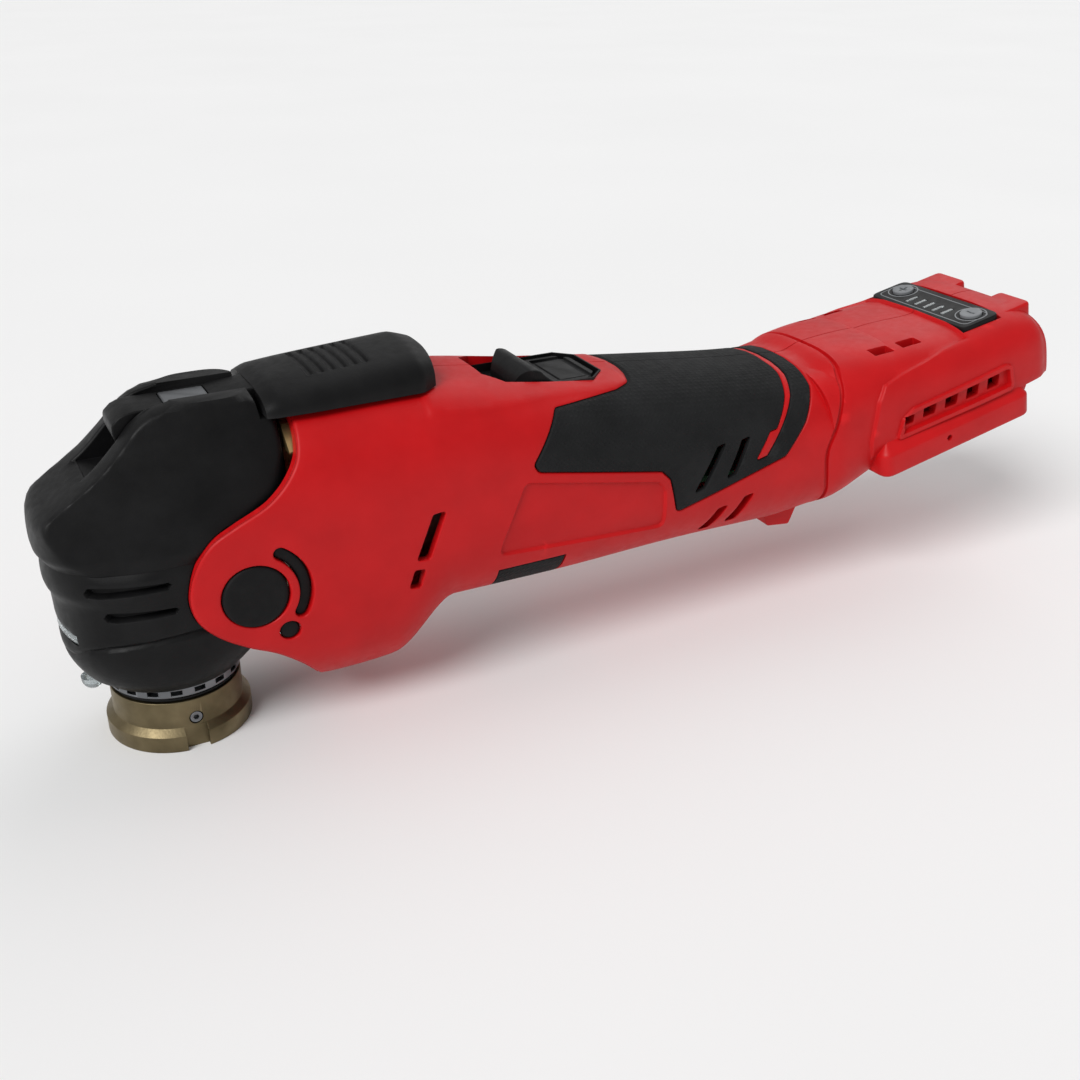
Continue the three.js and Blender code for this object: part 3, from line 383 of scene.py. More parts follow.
def soft(profile, radius=0.3, steps=3):
    """A turned profile with its corners rounded, apart from those on the axis."""
    points = rounded(profile, radius, steps)
    if min(p[0] for p in profile) < 1e-6:
        points[points[:, 0] < radius * 0.99, 0] = 0
    return [tuple(p) for p in points]


def rod(radius, ends, at, sides=64):
    """A rod across the tool, through the point x, z."""
    angles = np.linspace(0, 2 * math.pi, sides, endpoint=False)
    return prism([(at[0] + radius * math.cos(a), at[1] + radius * math.sin(a)) for a in angles], ends)


def moved(obj, matrix):
    obj.data.transform(matrix)
    return obj


ON_FOOT = Matrix.Translation((FOOT_AT[0], 0, FOOT_AT[1])) @ Matrix.Rotation(-math.radians(FOOT_PITCH), 4, "Y")


def on_foot(obj):
    return moved(obj, ON_FOOT)


# ---- lofted skins ----
class Form:
    """A loft that is the same on both sides of the centre plane. At each station t its section has a height p
    in the centre plane and a distance q from it. section(t) gives mid, high, low, half width and the
    squareness above and below mid; place(t, p, q) gives the point on the tool's left side."""

    def __init__(self, section, place):
        self.section, self.place = section, place

    def at(self, t, phi):
        mid, high, low, half, above, below = self.section(t)
        c, s = np.cos(phi), np.sin(phi)
        reach = np.where(s >= 0, high - mid, mid - low)
        n = np.where(s >= 0, above, below)
        r = (np.abs(c / half) ** n + np.abs(s / reach) ** n) ** (-1 / n)
        return mid + r * s, np.maximum(r * c, 0)

    def point(self, t, phi):
        return self.place(t, *self.at(t, phi))

    def from_height(self, t, p):
        mid, high, low, half, above, below = self.section(t)
        up = p >= mid
        k = np.clip(np.abs(p - mid) / np.where(up, high - mid, mid - low), 0, 1)
        n = np.where(up, above, below)
        return np.arctan2(p - mid, half * (1 - k**n) ** (1 / n))

    def from_side(self, t, q):
        """The angle on the lower half of the section at a distance q from the centre plane."""
        mid, _, low, half, _, n = self.section(t)
        k = np.clip(q / half, 0, 1)
        return np.arctan2(-(mid - low) * (1 - k**n) ** (1 / n), q)

    def normal(self, t, phi):
        e = 0.02
        f = e / 30
        lo_t, hi_t = self.point(t - e, phi), self.point(t + e, phi)
        lo_p = self.point(t, np.maximum(phi - f, -math.pi / 2))
        hi_p = self.point(t, np.minimum(phi + f, math.pi / 2))
        n = np.cross(hi_p - lo_p, hi_t - lo_t)
        n /= np.maximum(np.linalg.norm(n, axis=1, keepdims=True), 1e-12)
        edge = np.abs(phi) > math.pi / 2 - 1e-6
        n[edge, 1] = 0
        return n / np.maximum(np.linalg.norm(n, axis=1, keepdims=True), 1e-12)


RADIUS = 30  # turns an angle round a section into millimetres in the flat plan


def skin(form, ends, step, lines=(), depth=None):
    """A closed loft, lowered by depth(t, p, q), with edges along the given lines of (t, phi)."""
    t0, t1 = ends
    quarter = math.pi / 2 * RADIUS
    ts = np.linspace(t0, t1, math.ceil((t1 - t0) / step) + 1)
    ws = np.linspace(-quarter, quarter, math.ceil(2 * quarter / step) + 1)
    grid = np.array([(t, w) for t in ts for w in ws])
    points, edges = [], []
    for line, closed in lines:
        flat = np.stack([np.clip(line[:, 0], t0, t1), np.clip(line[:, 1] * RADIUS, -quarter, quarter)], 1)
        start = len(points)
        points.extend(flat)
        count = len(flat)
        edges.extend((start + i, start + (i + 1) % count) for i in range(count if closed else count - 1))
    if points:
        kept = np.ones(len(grid), bool)
        inner = (grid[:, 0] > t0) & (grid[:, 0] < t1) & (np.abs(grid[:, 1]) < quarter)
        for line, closed in lines:
            flat = np.stack([line[:, 0], line[:, 1] * RADIUS], 1)
            kept &= distance(grid[:, 0], grid[:, 1], flat, closed) > step * 0.3
        grid = grid[kept | ~inner]
        points = np.vstack([np.array(points), grid])
    else:
        points = grid
    found = geometry.delaunay_2d_cdt([Vector(p) for p in points], edges, [], 0, 1e-4)
    flat = np.array([tuple(v) for v in found[0]])
    faces = [f for f in found[2] if len(set(f)) == 3]
    t, phi = flat[:, 0], np.clip(flat[:, 1] / RADIUS, -math.pi / 2, math.pi / 2)
    rim = np.abs(phi) > math.pi / 2 - 1e-5
    phi[rim] = np.sign(phi[rim]) * math.pi / 2
    p, q = form.at(t, phi)
    q[rim] = 0
    left = form.place(t, p, q)
    if depth is not None:
        normal = form.normal(t, phi)
        middle = form.place(t[:1], p[:1] * 0 + form.section(t[:1])[0], q[:1] * 0)
        facing = np.sum(normal[:1] * (left[:1] - middle))
        left = left - (normal if facing > 0 else -normal) * depth(t, p, q)[:, None]
    left[rim, 1] = 0
    right = left * (1, -1, 1)
    other = np.where(rim, np.arange(len(left)), np.arange(len(left)) + len(left))
    faces = [tuple(f) for f in faces] + [tuple(other[list(f)][::-1]) for f in faces]
    for end in (t0, t1):
        at = np.where(np.abs(t - end) < 1e-4)[0]
        order = at[np.argsort(phi[at])]
        faces.append(tuple(order) + tuple(other[order[::-1][1:-1]]))
    return solid(np.vstack([left, right]), faces)


def body_form(inset=0.0):
    rows = monotone(BODY)

    def section(t):
        top, bottom, half, n = rows(t).T
        return (top + bottom) / 2, top - inset, bottom + inset, half - inset, n, n

    return Form(section, lambda t, p, q: np.stack([t, -q, p], 1))


def foot_form(inset=0.0):
    rows = monotone(FOOT)
    turn = math.radians(FOOT_PITCH)

    def section(t):
        top, half = rows(t).T
        middle = np.full_like(t, RAIL_HEIGHT + 1)
        return middle, top - inset, middle * 0 + 1 + inset, half - inset, middle * 0 + 3.8, middle * 0 + 2.9

    def place(t, p, q):
        return np.stack([FOOT_AT[0] + t * math.cos(turn) - p * math.sin(turn), -q,
                         FOOT_AT[1] + t * math.sin(turn) + p * math.cos(turn)], 1)

    return Form(section, place)


def side_line(form, line, closed=True, step=0.9):
    """An outline seen from the side, laid on the form."""
    line = dense(line, step, closed)
    return np.stack([line[:, 0], form.from_height(line[:, 0], line[:, 1])], 1), closed


EDGE_STEPS = (1.0, 0.7, 0.42, 0.2, 0.06)


def laid(form, line, at, closed=True):
    """Copies of a line on the form, moved sideways by each of the given distances."""
    return [side_line(form, grown(line, d, closed) if d else line, closed) for d in at]


def edge_lines(form, line, radius, base=0.0):
    """The lines that a rounded edge needs round a cut."""
    return laid(form, line, [base + radius * s for s in EDGE_STEPS] + [base - 0.12])


def stack(rings):
    """A closed solid through rings with the same number of points."""
    n = len(rings[0])
    faces = [tuple(range(n)), tuple(range((len(rings) - 1) * n, len(rings) * n))]
    for k in range(len(rings) - 1):
        a, b = k * n, (k + 1) * n
        faces += [(a + i, a + (i + 1) % n, b + (i + 1) % n, b + i) for i in range(n)]
    return solid(np.vstack(rings), faces)


def plate(line, levels, plane="xy"):
    """An outline carried through levels of (place, growth), so that its edges can be rounded."""
    rings = []
    for place, growth in levels:
        ring = grown(line, growth) if growth else np.asarray(line, float)
        flat = np.full(len(ring), float(place))
        order = (ring[:, 0], ring[:, 1], flat) if plane == "xy" else (ring[:, 0], flat, ring[:, 1])
        rings.append(np.stack(order, 1))
    return stack(rings)


def edged(ends, radius, both=True, steps=4):
    """Levels for plate(): from one end to the other, with rounded edges."""
    a, b = ends
    way = 1 if b > a else -1
    start = [(a + way * radius * (1 - math.cos(t)), -radius * (1 - math.sin(t)))
             for t in np.linspace(0, math.pi / 2, steps + 1)]
    end = [(b - way * radius * (1 - math.cos(t)), -radius * (1 - math.sin(t)))
           for t in np.linspace(math.pi / 2, 0, steps + 1)]
    return (start if both else [(a, 0)]) + end


def circle(at, radius, count=56):
    angles = np.linspace(0, 2 * math.pi, count, endpoint=False)
    return np.stack([at[0] + radius * np.cos(angles), at[1] + radius * np.sin(angles)], 1)


def octagon(x, half, corner):
    """A rectangle, symmetric in y, with its corners cut off."""
    (x0, x1), c = x, corner
    return np.array([(x0 + c, -half), (x1 - c, -half), (x1, c - half), (x1, half - c), (x1 - c, half),
                     (x0 + c, half), (x0, half - c), (x0, c - half)])


def rectangle(x, y, radius=0.0):
    corners = [(x[0], y[0]), (x[1], y[0]), (x[1], y[1]), (x[0], y[1])]
    return rounded(corners, radius) if radius else np.array(corners, float)


def arc_bar(growth=0.0):
    """Outline of the curved bumper beside the puck."""
    a, b = (math.radians(v) for v in ARC_DEG)
    middle, thick = sum(ARC_R) / 2, (ARC_R[1] - ARC_R[0]) / 2 + growth
    out = [((middle + thick) * math.cos(k), (middle + thick) * math.sin(k)) for k in np.linspace(a, b, 18)]
    out += [(middle * math.cos(b) + thick * math.cos(k), middle * math.sin(b) + thick * math.sin(k))
            for k in np.linspace(b, b + math.pi, 10)[1:-1]]
    out += [((middle - thick) * math.cos(k), (middle - thick) * math.sin(k)) for k in np.linspace(b, a, 16)]
    out += [(middle * math.cos(a) + thick * math.cos(k), middle * math.sin(a) + thick * math.sin(k))
            for k in np.linspace(a + math.pi, a + 2 * math.pi, 10)[1:-1]]
    return np.array(out) + EAR


# ---- casing halves ----
body_row = monotone(BODY)
FRONT = spline(FRONT_EDGE)
FRONT_ROUND, HOLE_ROUND, GRIP_ROUND = 0.9, 0.45, 0.6
GRIP_LINE, ACCENT_LINE = rounded(GRIP, 1.4), rounded(ACCENT, 0.7)
GRIP_SLOT_LINES = [rounded(line, 0.9) for line in GRIP_SLOTS]
PANEL_LINE = rounded(PANEL, 2.0)
EAR_HALF = float(body_row([EAR[0]])[0][2])  # half width of the casing at the puck
BUMPER_AT = EAR_HALF - WALL - 1.4
HOLES = [(circle(EAR, PUCK_R + GAP), HOLE_ROUND), (arc_bar(GAP), HOLE_ROUND),
         (circle(PEG, PEG_R + GAP, 32), 0.35)]
HOLES += [(rounded(line, 0.9), 0.35) for line in SIDE_VENTS + RED_VENTS]
PANEL_DEEP, DECK_HIGH, NECK_HALF, NECK_DEEP = 0.9, 0.5, 0.7, 0.9


def casing_depth(x, z, q):
    deep = rounding(distance(x, z, FRONT, False), FRONT_ROUND)
    for line, radius in HOLES:
        deep = np.maximum(deep, rounding(outside(x, z, line), radius))
    beside_grip = rounding(outside(x, z, GRIP_LINE) - GAP, GRIP_ROUND)
    accent = outside(x, z, ACCENT_LINE)
    deep = np.maximum(deep, np.where(accent < 0, rounding(-accent, 0.35), beside_grip))
    deep = deep + PANEL_DEEP * ease(0.5 - outside(x, z, PANEL_LINE) / 0.7)
    deep = deep - DECK_HIGH * ease(0.5 - outside(x, z, np.array(DECK_EDGE)) / 1.4)
    return deep


def casing_skin():
    form = body_form()
    lines = laid(form, FRONT, [FRONT_ROUND * s for s in EDGE_STEPS] + [-0.12], False)
    for line, radius in HOLES:
        lines += edge_lines(form, line, radius)
    lines += edge_lines(form, GRIP_LINE, GRIP_ROUND, base=GAP)
    lines += laid(form, ACCENT_LINE, [0.12, -0.1, -0.35])
    lines += laid(form, PANEL_LINE, [-0.35, -0.15, 0.15, 0.35])
    lines += laid(form, DECK_EDGE, [-0.7, 0, 0.7])
    return skin(form, (-6, BODY_END), 1.7, lines, casing_depth)


FOOT_EDGE = [
    (41.4, 60), (41.4, 30.4), (31, 30.9), (13.6, 30), (5.8, 28.9), (2.4, 24.7), (-1.7, 12.4), (-1.7, -9),
]
FOOT_CREASE = [*FOOT_EDGE, (90, -9), (90, 60)]  # the raised lower rear part of each side
VENT_FRAME = [(8.4, 11.2), (10.6, 16.2), (14.6, 18.3), (50.8, 19.3), (52.6, 18.6), (53.2, 13.2), (53, 11.6)]
FOOT_BULGE, FRAME_DEEP, FRAME_RIM = 1.1, 0.8, 0.9
FOOT_VENTS = [
    [(u - 2.7, 13.6), (u + 2, 13.6), (u + 2.7, 17.2), (u - 2, 17.2)] for u in np.linspace(12.6, 46.6, 5)
]
TOP_SLOTS = [[(u, s * 17.2), (u + 7.5, s * 17.2), (u + 8.2, s * 20.6), (u + 0.7, s * 20.6)]
             for u in (8, 18.8) for s in (-1, 1)]


def foot_depth(u, v, q):
    frame_at = outside(u, v, np.array(VENT_FRAME))
    deep = -FOOT_BULGE * ease(0.5 - outside(u, v, np.array(FOOT_CREASE)) / 0.8)
    deep = deep + FRAME_DEEP * ease((-0.6 - frame_at) / 0.4) - FRAME_RIM * ease((1 - np.abs(frame_at)) / 0.35)
    for line in FOOT_VENTS:
        deep = deep + rounding(outside(u, v, np.array(line)), 0.35)
    return deep


def foot_skin():
    form = foot_form()
    lines = laid(form, FOOT_EDGE, [-0.4, -0.2, 0, 0.2, 0.4], False)
    lines += laid(form, VENT_FRAME, [-1, -0.8, -0.62, 0, 0.65, 0.82, 1])
    for line in FOOT_VENTS:
        lines += laid(form, line, [-0.1, 0.06, 0.2, 0.35])
    return skin(form, (-14, FOOT_LENGTH), 1.5, lines, foot_depth)


def rail_skirt():
    corners = [(0, -RAIL_HALF), (RAIL_LENGTH, -RAIL_HALF), (RAIL_LENGTH, RAIL_HALF), (0, RAIL_HALF)]
    line = rounded(corners, 4, 8)
    return plate(line, [(0, -0.8), (0.2, -0.35), (0.6, -0.08), (1, 0), (6.9, 0), (7.4, -0.12), (7.9, -0.5),
                        (10.2, -2.6), (12, -4.4)])


SWITCH_LINE = octagon(SWITCH_X, SWITCH_HALF, 5)
SWITCH_FLOOR = float(body_row([sum(SWITCH_X) / 2])[0][0]) - SWITCH_DEPTH


def link_slot():
    """The opening in the floor of the switch recess for the link, over the slider's whole travel."""
    return box((SLIDER_X[0] + 1 - SLIDER_TRAVEL, SLIDER_X[0] + 9), (-3, 3), (60, 95))


def casing():
    whole = join(casing_skin(), foot_skin(), on_foot(rail_skirt()),
                 prism(rounded([(187, 30), (190.5, 20.6), (199, 19.6), (203.5, 30)], 1), (-10, 10)))
    for y in (-1, 1):
        hump = plate(rectangle((60, 71.4), sorted((y * 8, y * 21.5)), 2),
                     [(FOOT_TOP - 8, 0), (FOOT_TOP - 1.8, 0), (FOOT_TOP - 1.2, -0.15), (FOOT_TOP - 0.8, -0.5),
                      (FOOT_TOP - 0.7, -1)])
        join(whole, on_foot(hump))
    inner_foot = cut(skin(foot_form(WALL), (-14, FOOT_LENGTH - WALL), 3),
                     on_foot(box((-40, 90), ACROSS, (-15, SLOT_HEIGHT + WALL))))
    cut(whole, skin(body_form(WALL), (-9, BODY_END), 3), inner_foot)
    join(whole, prism(grown(SWITCH_LINE, WALL), (SWITCH_FLOOR - WALL, SWITCH_FLOOR + 0.3), "xy"))
    bosses = [rod(4.2, (-40, 40), at, 32) for at in SCREWS]
    inside = join(skin(body_form(0.5), (-6, BODY_END), 3), skin(foot_form(0.5), (-14, FOOT_LENGTH), 3))
    join(whole, common(join(*bosses), inside))
    bed = cut(skin(body_form(-1), (60, 215), 3), skin(body_form(SKIN + GAP), (59, 216), 3))
    grip_bed = cut(common(copy_of(bed), prism(grown(GRIP_LINE, GAP), ACROSS)),
                   prism(ACCENT_LINE, ACROSS))
    pad_bed = common(bed, box((PAD_X[0] - GAP, PAD_X[1] + GAP), ACROSS, (0, PAD_TOP + GAP)))
    ahead = prism(np.vstack([FRONT, [(-60, -10), (-60, 110)]]), ACROSS)
    cut(whole, ahead, grip_bed, pad_bed)
    for line, _ in HOLES:
        cut(whole, prism(line, ACROSS))
    for line in GRIP_SLOT_LINES:
        cut(whole, prism(grown(line, 0.9), ACROSS))
    neck = spline(NECK)
    band = np.vstack([grown(neck, NECK_HALF, False), grown(neck, -NECK_HALF, False)[::-1]])
    shell = cut(skin(body_form(-4), (188, 216), 2), skin(body_form(NECK_DEEP), (186, 218), 1.5))
    cut(whole, common(shell, prism(band, ACROSS)))
    cut(whole, prism(SWITCH_LINE, (SWITCH_FLOOR, 120), "xy"), link_slot())
    for line in FOOT_VENTS:
        cut(whole, on_foot(prism(rounded(line, 0.5), ACROSS)))
    for line in TOP_SLOTS:
        cut(whole, on_foot(prism(rounded(line, 0.5), (20, 50), "xy")))
    slot_cut = [box((SLOT_FRONT, 90), (-SLOT_HALF, SLOT_HALF), (LIP, SLOT_HEIGHT)),
                box((SLOT_FRONT, 90), (LIP - SLOT_HALF, SLOT_HALF - LIP), (-20, LIP + 0.1)),
                box((RAIL_LENGTH, 90), ACROSS, (-20, SLOT_HEIGHT)),
                box((BLOCK_U[0] - GAP, BLOCK_U[1] + GAP), (-BLOCK_HALF - GAP, BLOCK_HALF + GAP),
                    (BLOCK_V[0] - GAP, BLOCK_V[1] + GAP)),
                box((PANEL_U[0] - GAP, PANEL_U[1] + GAP), (-PANEL_HALF - GAP, PANEL_HALF + GAP),
                    (FOOT_TOP - 2.4 - GAP, FOOT_TOP + 6))]
    cut(whole, *[on_foot(piece) for piece in slot_cut])
    cut(whole, rod(1, (-WIDE, -28), (242, 50), 24))
    left = common(copy_of(whole), box((-80, 400), (-WIDE, -SEAM), (-30, 150)))
    right = common(whole, box((-80, 400), (SEAM, WIDE), (-30, 150)))
    for at in SCREWS:
        cut(right, rod(SCREW_HEAD + GAP, (HEAD_SEAT, WIDE), at, 40), rod(1.8, (-1, WIDE), at, 24))
    return left, right


# ---- overmould, pad and bumpers ----
GRIP_PROUD = 0.25


def grip_depth(x, z, q):
    deep = rounding(-outside(x, z, GRIP_LINE), GRIP_ROUND)
    deep = np.maximum(deep, rounding(outside(x, z, ACCENT_LINE) - GAP, 0.4))
    for line in GRIP_SLOT_LINES:
        deep = np.maximum(deep, rounding(outside(x, z, line), 0.45))
    return deep - GRIP_PROUD


def grips():
    form = body_form()
    lines = laid(form, GRIP_LINE, [-GRIP_ROUND * s for s in EDGE_STEPS])
    lines += laid(form, ACCENT_LINE, [GAP + 0.4 * s for s in EDGE_STEPS])
    for line in GRIP_SLOT_LINES:
        lines += edge_lines(form, line, 0.45)
    grip = common(skin(form, (80, 212), 1.7, lines, grip_depth), prism(GRIP_LINE, ACROSS))
    cut(grip, skin(body_form(SKIN), (78, 214), 3), prism(grown(ACCENT_LINE, GAP), ACROSS))
    for line in GRIP_SLOT_LINES:
        cut(grip, prism(line, ACROSS))
    left = common(copy_of(grip), box((60, 230), (-WIDE, -SEAM), (0, 100)))
    return left, common(grip, box((60, 230), (SEAM, WIDE), (0, 100)))


def belly_pad():
    def depth(x, z, q):
        inside = np.minimum(np.minimum(x - PAD_X[0], PAD_X[1] - x), PAD_TOP - z)
        return rounding(inside, 0.5)

    form = body_form()
    outline = [(PAD_X[0], PAD_TOP), (PAD_X[1], PAD_TOP), (PAD_X[1], 0), (PAD_X[0], 0)]
    lines = laid(form, outline, [-0.5 * s for s in EDGE_STEPS])
    pad = common(skin(form, (80, 115), 1.7, lines, depth), box(PAD_X, ACROSS, (0, PAD_TOP)))
    return cut(pad, skin(body_form(SKIN), (78, 117), 2))


def bumpers(side):
    """The puck, the arc and the peg of one side."""
    half, inner = EAR_HALF, BUMPER_AT
    out = half - 0.1
    dome = [(r, out + 0.3 * (1 - (r / PUCK_R) ** 2)) for r in np.linspace(PUCK_R - 0.8, 0, 9)]
    rim = [(PUCK_R - 0.8 + 0.8 * math.sin(a), out - 0.8 + 0.8 * math.cos(a))
           for a in np.linspace(math.pi / 2, 0.3, 5)]
    puck = turned([(0, half - 6.2), (PUCK_R, half - 6.2), *rim, *dome], 96)
    turn = Matrix.Translation((EAR[0], 0, EAR[1])) @ Matrix.Rotation(-side * math.pi / 2, 4, "X")
    moved(puck, turn)
    arc = plate(arc_bar(), edged((side * inner, side * (half - 0.7)), 0.6, False), "xz")
    peg = plate(circle(PEG, PEG_R, 40), edged((side * inner, side * (half - 1.0)), 0.6, False), "xz")
    return puck, arc, peg


# ---- head cover ----
cover_row = monotone(COVER)
CREST = (13.34, 0.35, 0.25)  # upper side facets: half width at z = 90, and its growth downwards and rearwards
COVER_VENTS = [
    [(51.5, -22), (52.9, -21.2), (53.1, -19), (52.7, -2), (51.9, -1), (50.8, -2), (50, -19), (50.3, -21.2)],
    [(44.2, -18), (45.5, -17.2), (45.7, -15), (45.3, -1), (44.6, 0), (43.5, -1), (42.7, -15), (43, -17.2)],
]
CREASE = [
    (29.7, -27.4), (29.7, -26.5), (33.6, -22.7), (35.2, -17.7), (35.8, -11.5), (36.4, -5), (36.8, 2.6),
    (36.9, 8),
]
BELT_Z = 56.3
LENS_Z, LENS_Y = (34.9, 37.3), 12


def soft_least(a, b, r):
    h = np.clip(0.5 + 0.5 * (b - a) / r, 0, 1)
    return b * (1 - h) + a * h - r * h * (1 - h)


def cover_form():
    def section(t):
        front, rear, half, n = cover_row(t).T
        return (rear - front) / 2, rear, -front, half, n, n

    def place(t, p, q):
        limit = CREST[0] + CREST[1] * (90 - t) + CREST[2] * soft_least(p, 4, 10)
        q = np.where(q > 0, np.maximum(soft_least(q, limit, 0.7), 0), q)
        return np.stack([p, -q, t], 1)

    return Form(section, place)


def cover_depth(z, x, q):
    ahead = ease((6 - x) / 24)
    under_belt = BELT_Z - z
    step = np.where(under_belt > 0, 1.9 * np.exp(-under_belt / 5.0), 1.7 * ease(1 + under_belt / 4.5) ** 2)
    deep = step * (0.45 + 0.55 * ahead)
    for line in COVER_VENTS:
        deep = deep + 2.2 * ease(-outside(z, x, np.array(line)) / 0.7)
    deep = deep + groove(distance(z, x, CREASE, False), 1.1, 0.7) * (x < 9)
    slot_side = np.where((z > LEVER_SLOT_FLOOR) & (x < 20), rounding(q - LEVER_SLOT, 0.7), 0)
    lens = np.where((x < -10) & (q < LENS_Y), 0.9 * ease(1.2 - np.abs(z - 36.1) / 2.6), 0)
    return np.maximum(deep, slot_side) + lens * ease((LENS_Y - q) / 4)


def head_cover():
    form = cover_form()
    lines = [(np.array([(z, phi) for phi in np.linspace(-math.pi / 2, math.pi / 2, 60)]), False)
             for z in (BELT_Z + 3, BELT_Z + 1.6, BELT_Z + 0.7, BELT_Z + 0.06, BELT_Z - 0.06,
                       33.4, 35, 36.1, 37.2, 38.8)]
    for line in COVER_VENTS:
        lines += laid(form, line, [0.05, -0.2, -0.45, -0.7, -0.95])
    lines += laid(form, CREASE, [-1.1, -0.5, 0, 0.5, 1.1], False)
    zs = np.linspace(LEVER_SLOT_FLOOR - 0.5, 93.7, 40)
    for q in (LEVER_SLOT + 0.7 * s for s in (*EDGE_STEPS, -0.15)):
        lines.append((np.stack([zs, form.from_side(zs, np.full(len(zs), q))], 1), False))
    cover = skin(form, (COVER[0][0], COVER[-1][0]), 1.3, lines, cover_depth)
    slot_line = [(-15.4, LEVER_SLOT_FLOOR), (60, LEVER_SLOT_FLOOR), (60, 120), (-60, 120), (-60, 90),
                 (-17.4, 80)]
    above = cut(box((0, 60), ACROSS, (LEVER_BASE - 0.6, 120)),
                rod(27.3, (-WIDE - 1, WIDE + 1), (0, PIVOT_Z), 160))
    behind = prism(np.vstack([grown(FRONT, -GAP, False), [(400, 0), (400, 110)]]), ACROSS)
    cut(behind, skin(body_form(WALL + GAP + 0.2), (-9, 60), 3))
    cut(cover, prism(slot_line, (-LEVER_SLOT, LEVER_SLOT)), above, behind,
        box((COVER_BACK, 60), ACROSS, (0, 120)))
    for side in (-1, 1):
        puck_hole = sorted((side * (EAR_HALF - 6.5), side * 40))
        hole = sorted((side * (BUMPER_AT - GAP), side * 40))
        cut(cover, rod(PUCK_R + GAP, puck_hole, EAR), prism(arc_bar(GAP), hole), rod(PEG_R + GAP, hole, PEG))
    barrel = join(drum(14.3, (18, 37)), drum(16.3, (33.7, 74.3)))
    across = drum(16.3, (0, COVER_BACK + 5))
    join(barrel, moved(across, Matrix.Translation((0, 0, MOTOR_Z)) @ Matrix.Rotation(math.pi / 2, 4, "Y")))
    cut(cover, barrel, drum(6.4, (60, 90)), rod(PIN_R + 0.2, (-12.4, 12.4), (0, PIVOT_Z)))
    return cut(cover, lens(0.25))


def lens(growth=0.0):
    """The clear strip round the front of the cover, or the opening for it."""
    inner, (z0, z1) = 23.4 - growth, (LENS_Z[0] - growth, LENS_Z[1] + growth)
    outer, crown = (40, 40) if growth else (27.0, 27.4)
    strip = turned([(inner, z0), (outer, z0), (crown, (z0 + z1) / 2), (outer, z1), (inner, z1)], 160)
    return common(strip, box((-60, -15), (-LENS_Y - growth, LENS_Y + growth), (20, 50)))


# ---- lever ----
def lever_form(inset=0.0):
    def section(x):
        t = np.clip((x - LEVER_X[0]) / (LEVER_X[1] - LEVER_X[0]), 0, 1)
        tail = np.clip(t - 0.9, 0, 1)
        front = np.clip(0.06 - t, 0, 1)
        half = LEVER_HALF - 1.4 * np.abs(t - 0.25) - 30 * tail - 8 * front
        crown = LEVER_CROWN[0] + (LEVER_CROWN[1] - LEVER_CROWN[0]) * t**0.8 - 25 * tail**1.2 - 18 * front
        flat = np.full_like(t, LEVER_BASE)
        n = np.full_like(t, 2.6)
        return flat, flat + crown - inset, flat - crown + inset, half - inset, n, n

    return Form(section, lambda t, p, q: np.stack([t, -q, p], 1))


RIB_X, RIB_HALF, RIB_PITCH, RIB_DEEP = (40.4, 59.6), 10.5, 3.0, 0.8


def lever_depth(x, z, q):
    """Grip ribs across the crown of the lever."""
    near = (z > LEVER_BASE + 4) * ease((RIB_HALF - q) / 1.2)
    waves = 0.5 - 0.9 * np.cos((x - 41) * 2 * math.pi / RIB_PITCH)
    return RIB_DEEP * ease(waves) * ease((x - RIB_X[0]) / 0.6) * ease((RIB_X[1] - x) / 0.6) * near


def lever():
    form = lever_form()
    rib_lines = [(np.array([(x, phi) for phi in np.linspace(0.05, math.pi / 2, 40)]), False)
                 for x in np.arange(RIB_X[0], RIB_X[1] + 0.2, 0.5)]
    plate_top = skin(form, (LEVER_X[0], LEVER_X[1]), 1.1, rib_lines, lever_depth)
    common(plate_top, box((0, 100), ACROSS, (LEVER_BASE, 120)))
    hollow = skin(lever_form(2.2), (LEVER_X[0] + 3, LEVER_X[1] - 2), 2)
    cut(plate_top, hollow, skin(body_form(-1), (LEVER_X[0] + 6, LEVER_X[1] + 5), 2.5))
    cam = []
    for deg in np.linspace(-205, -90, 40):
        r = 4.8 + 3 * min(-90 - deg, 110) / 110
        cam.append((r * math.cos(math.radians(deg)), PIVOT_Z + r * math.sin(math.radians(deg))))
    nose = [(r * math.cos(math.radians(a)), PIVOT_Z + r * math.sin(math.radians(a)))
            for a, r in ((-265, 5.9), (-250, 6.1), (-236, 6.6), (-222, 7.2))]
    arm = [(2, PIVOT_Z + 5.8), *nose, *cam, (8, PIVOT_Z - 4.6), (18, PIVOT_Z - 1.2),
           (LEVER_X[0] + 5, LEVER_BASE), (LEVER_X[0] + 5, LEVER_BASE + 5.4), (18, PIVOT_Z + 6.2)]
    tongue = plate(arm, edged((-LEVER_SLOT + 0.6, LEVER_SLOT - 0.6), 0.5), "xz")
    join(plate_top, tongue)
    strap_bed = box((6, 18), (-4.6, 4.6), (PIVOT_Z + 4.6, 106))
    return cut(plate_top, rod(PIN_R + 0.1, ACROSS, (0, PIVOT_Z)), strap_bed)


def lever_strap():
    return plate(rectangle((6.3, 17.7), (-4.3, 4.3), 0.8), edged((PIVOT_Z + 4.9, PIVOT_Z + 6.3), 0.35))


# ---- collar, flange and light ----
FLANGE_TOP, SEAL_TOP, COLLAR_TOP, COLLAR_SLOTS, DRIVE_PINS = 14.2, 15.7, 18.7, 18, 8
SET_SCREW_AT = (1.1, 8.6)


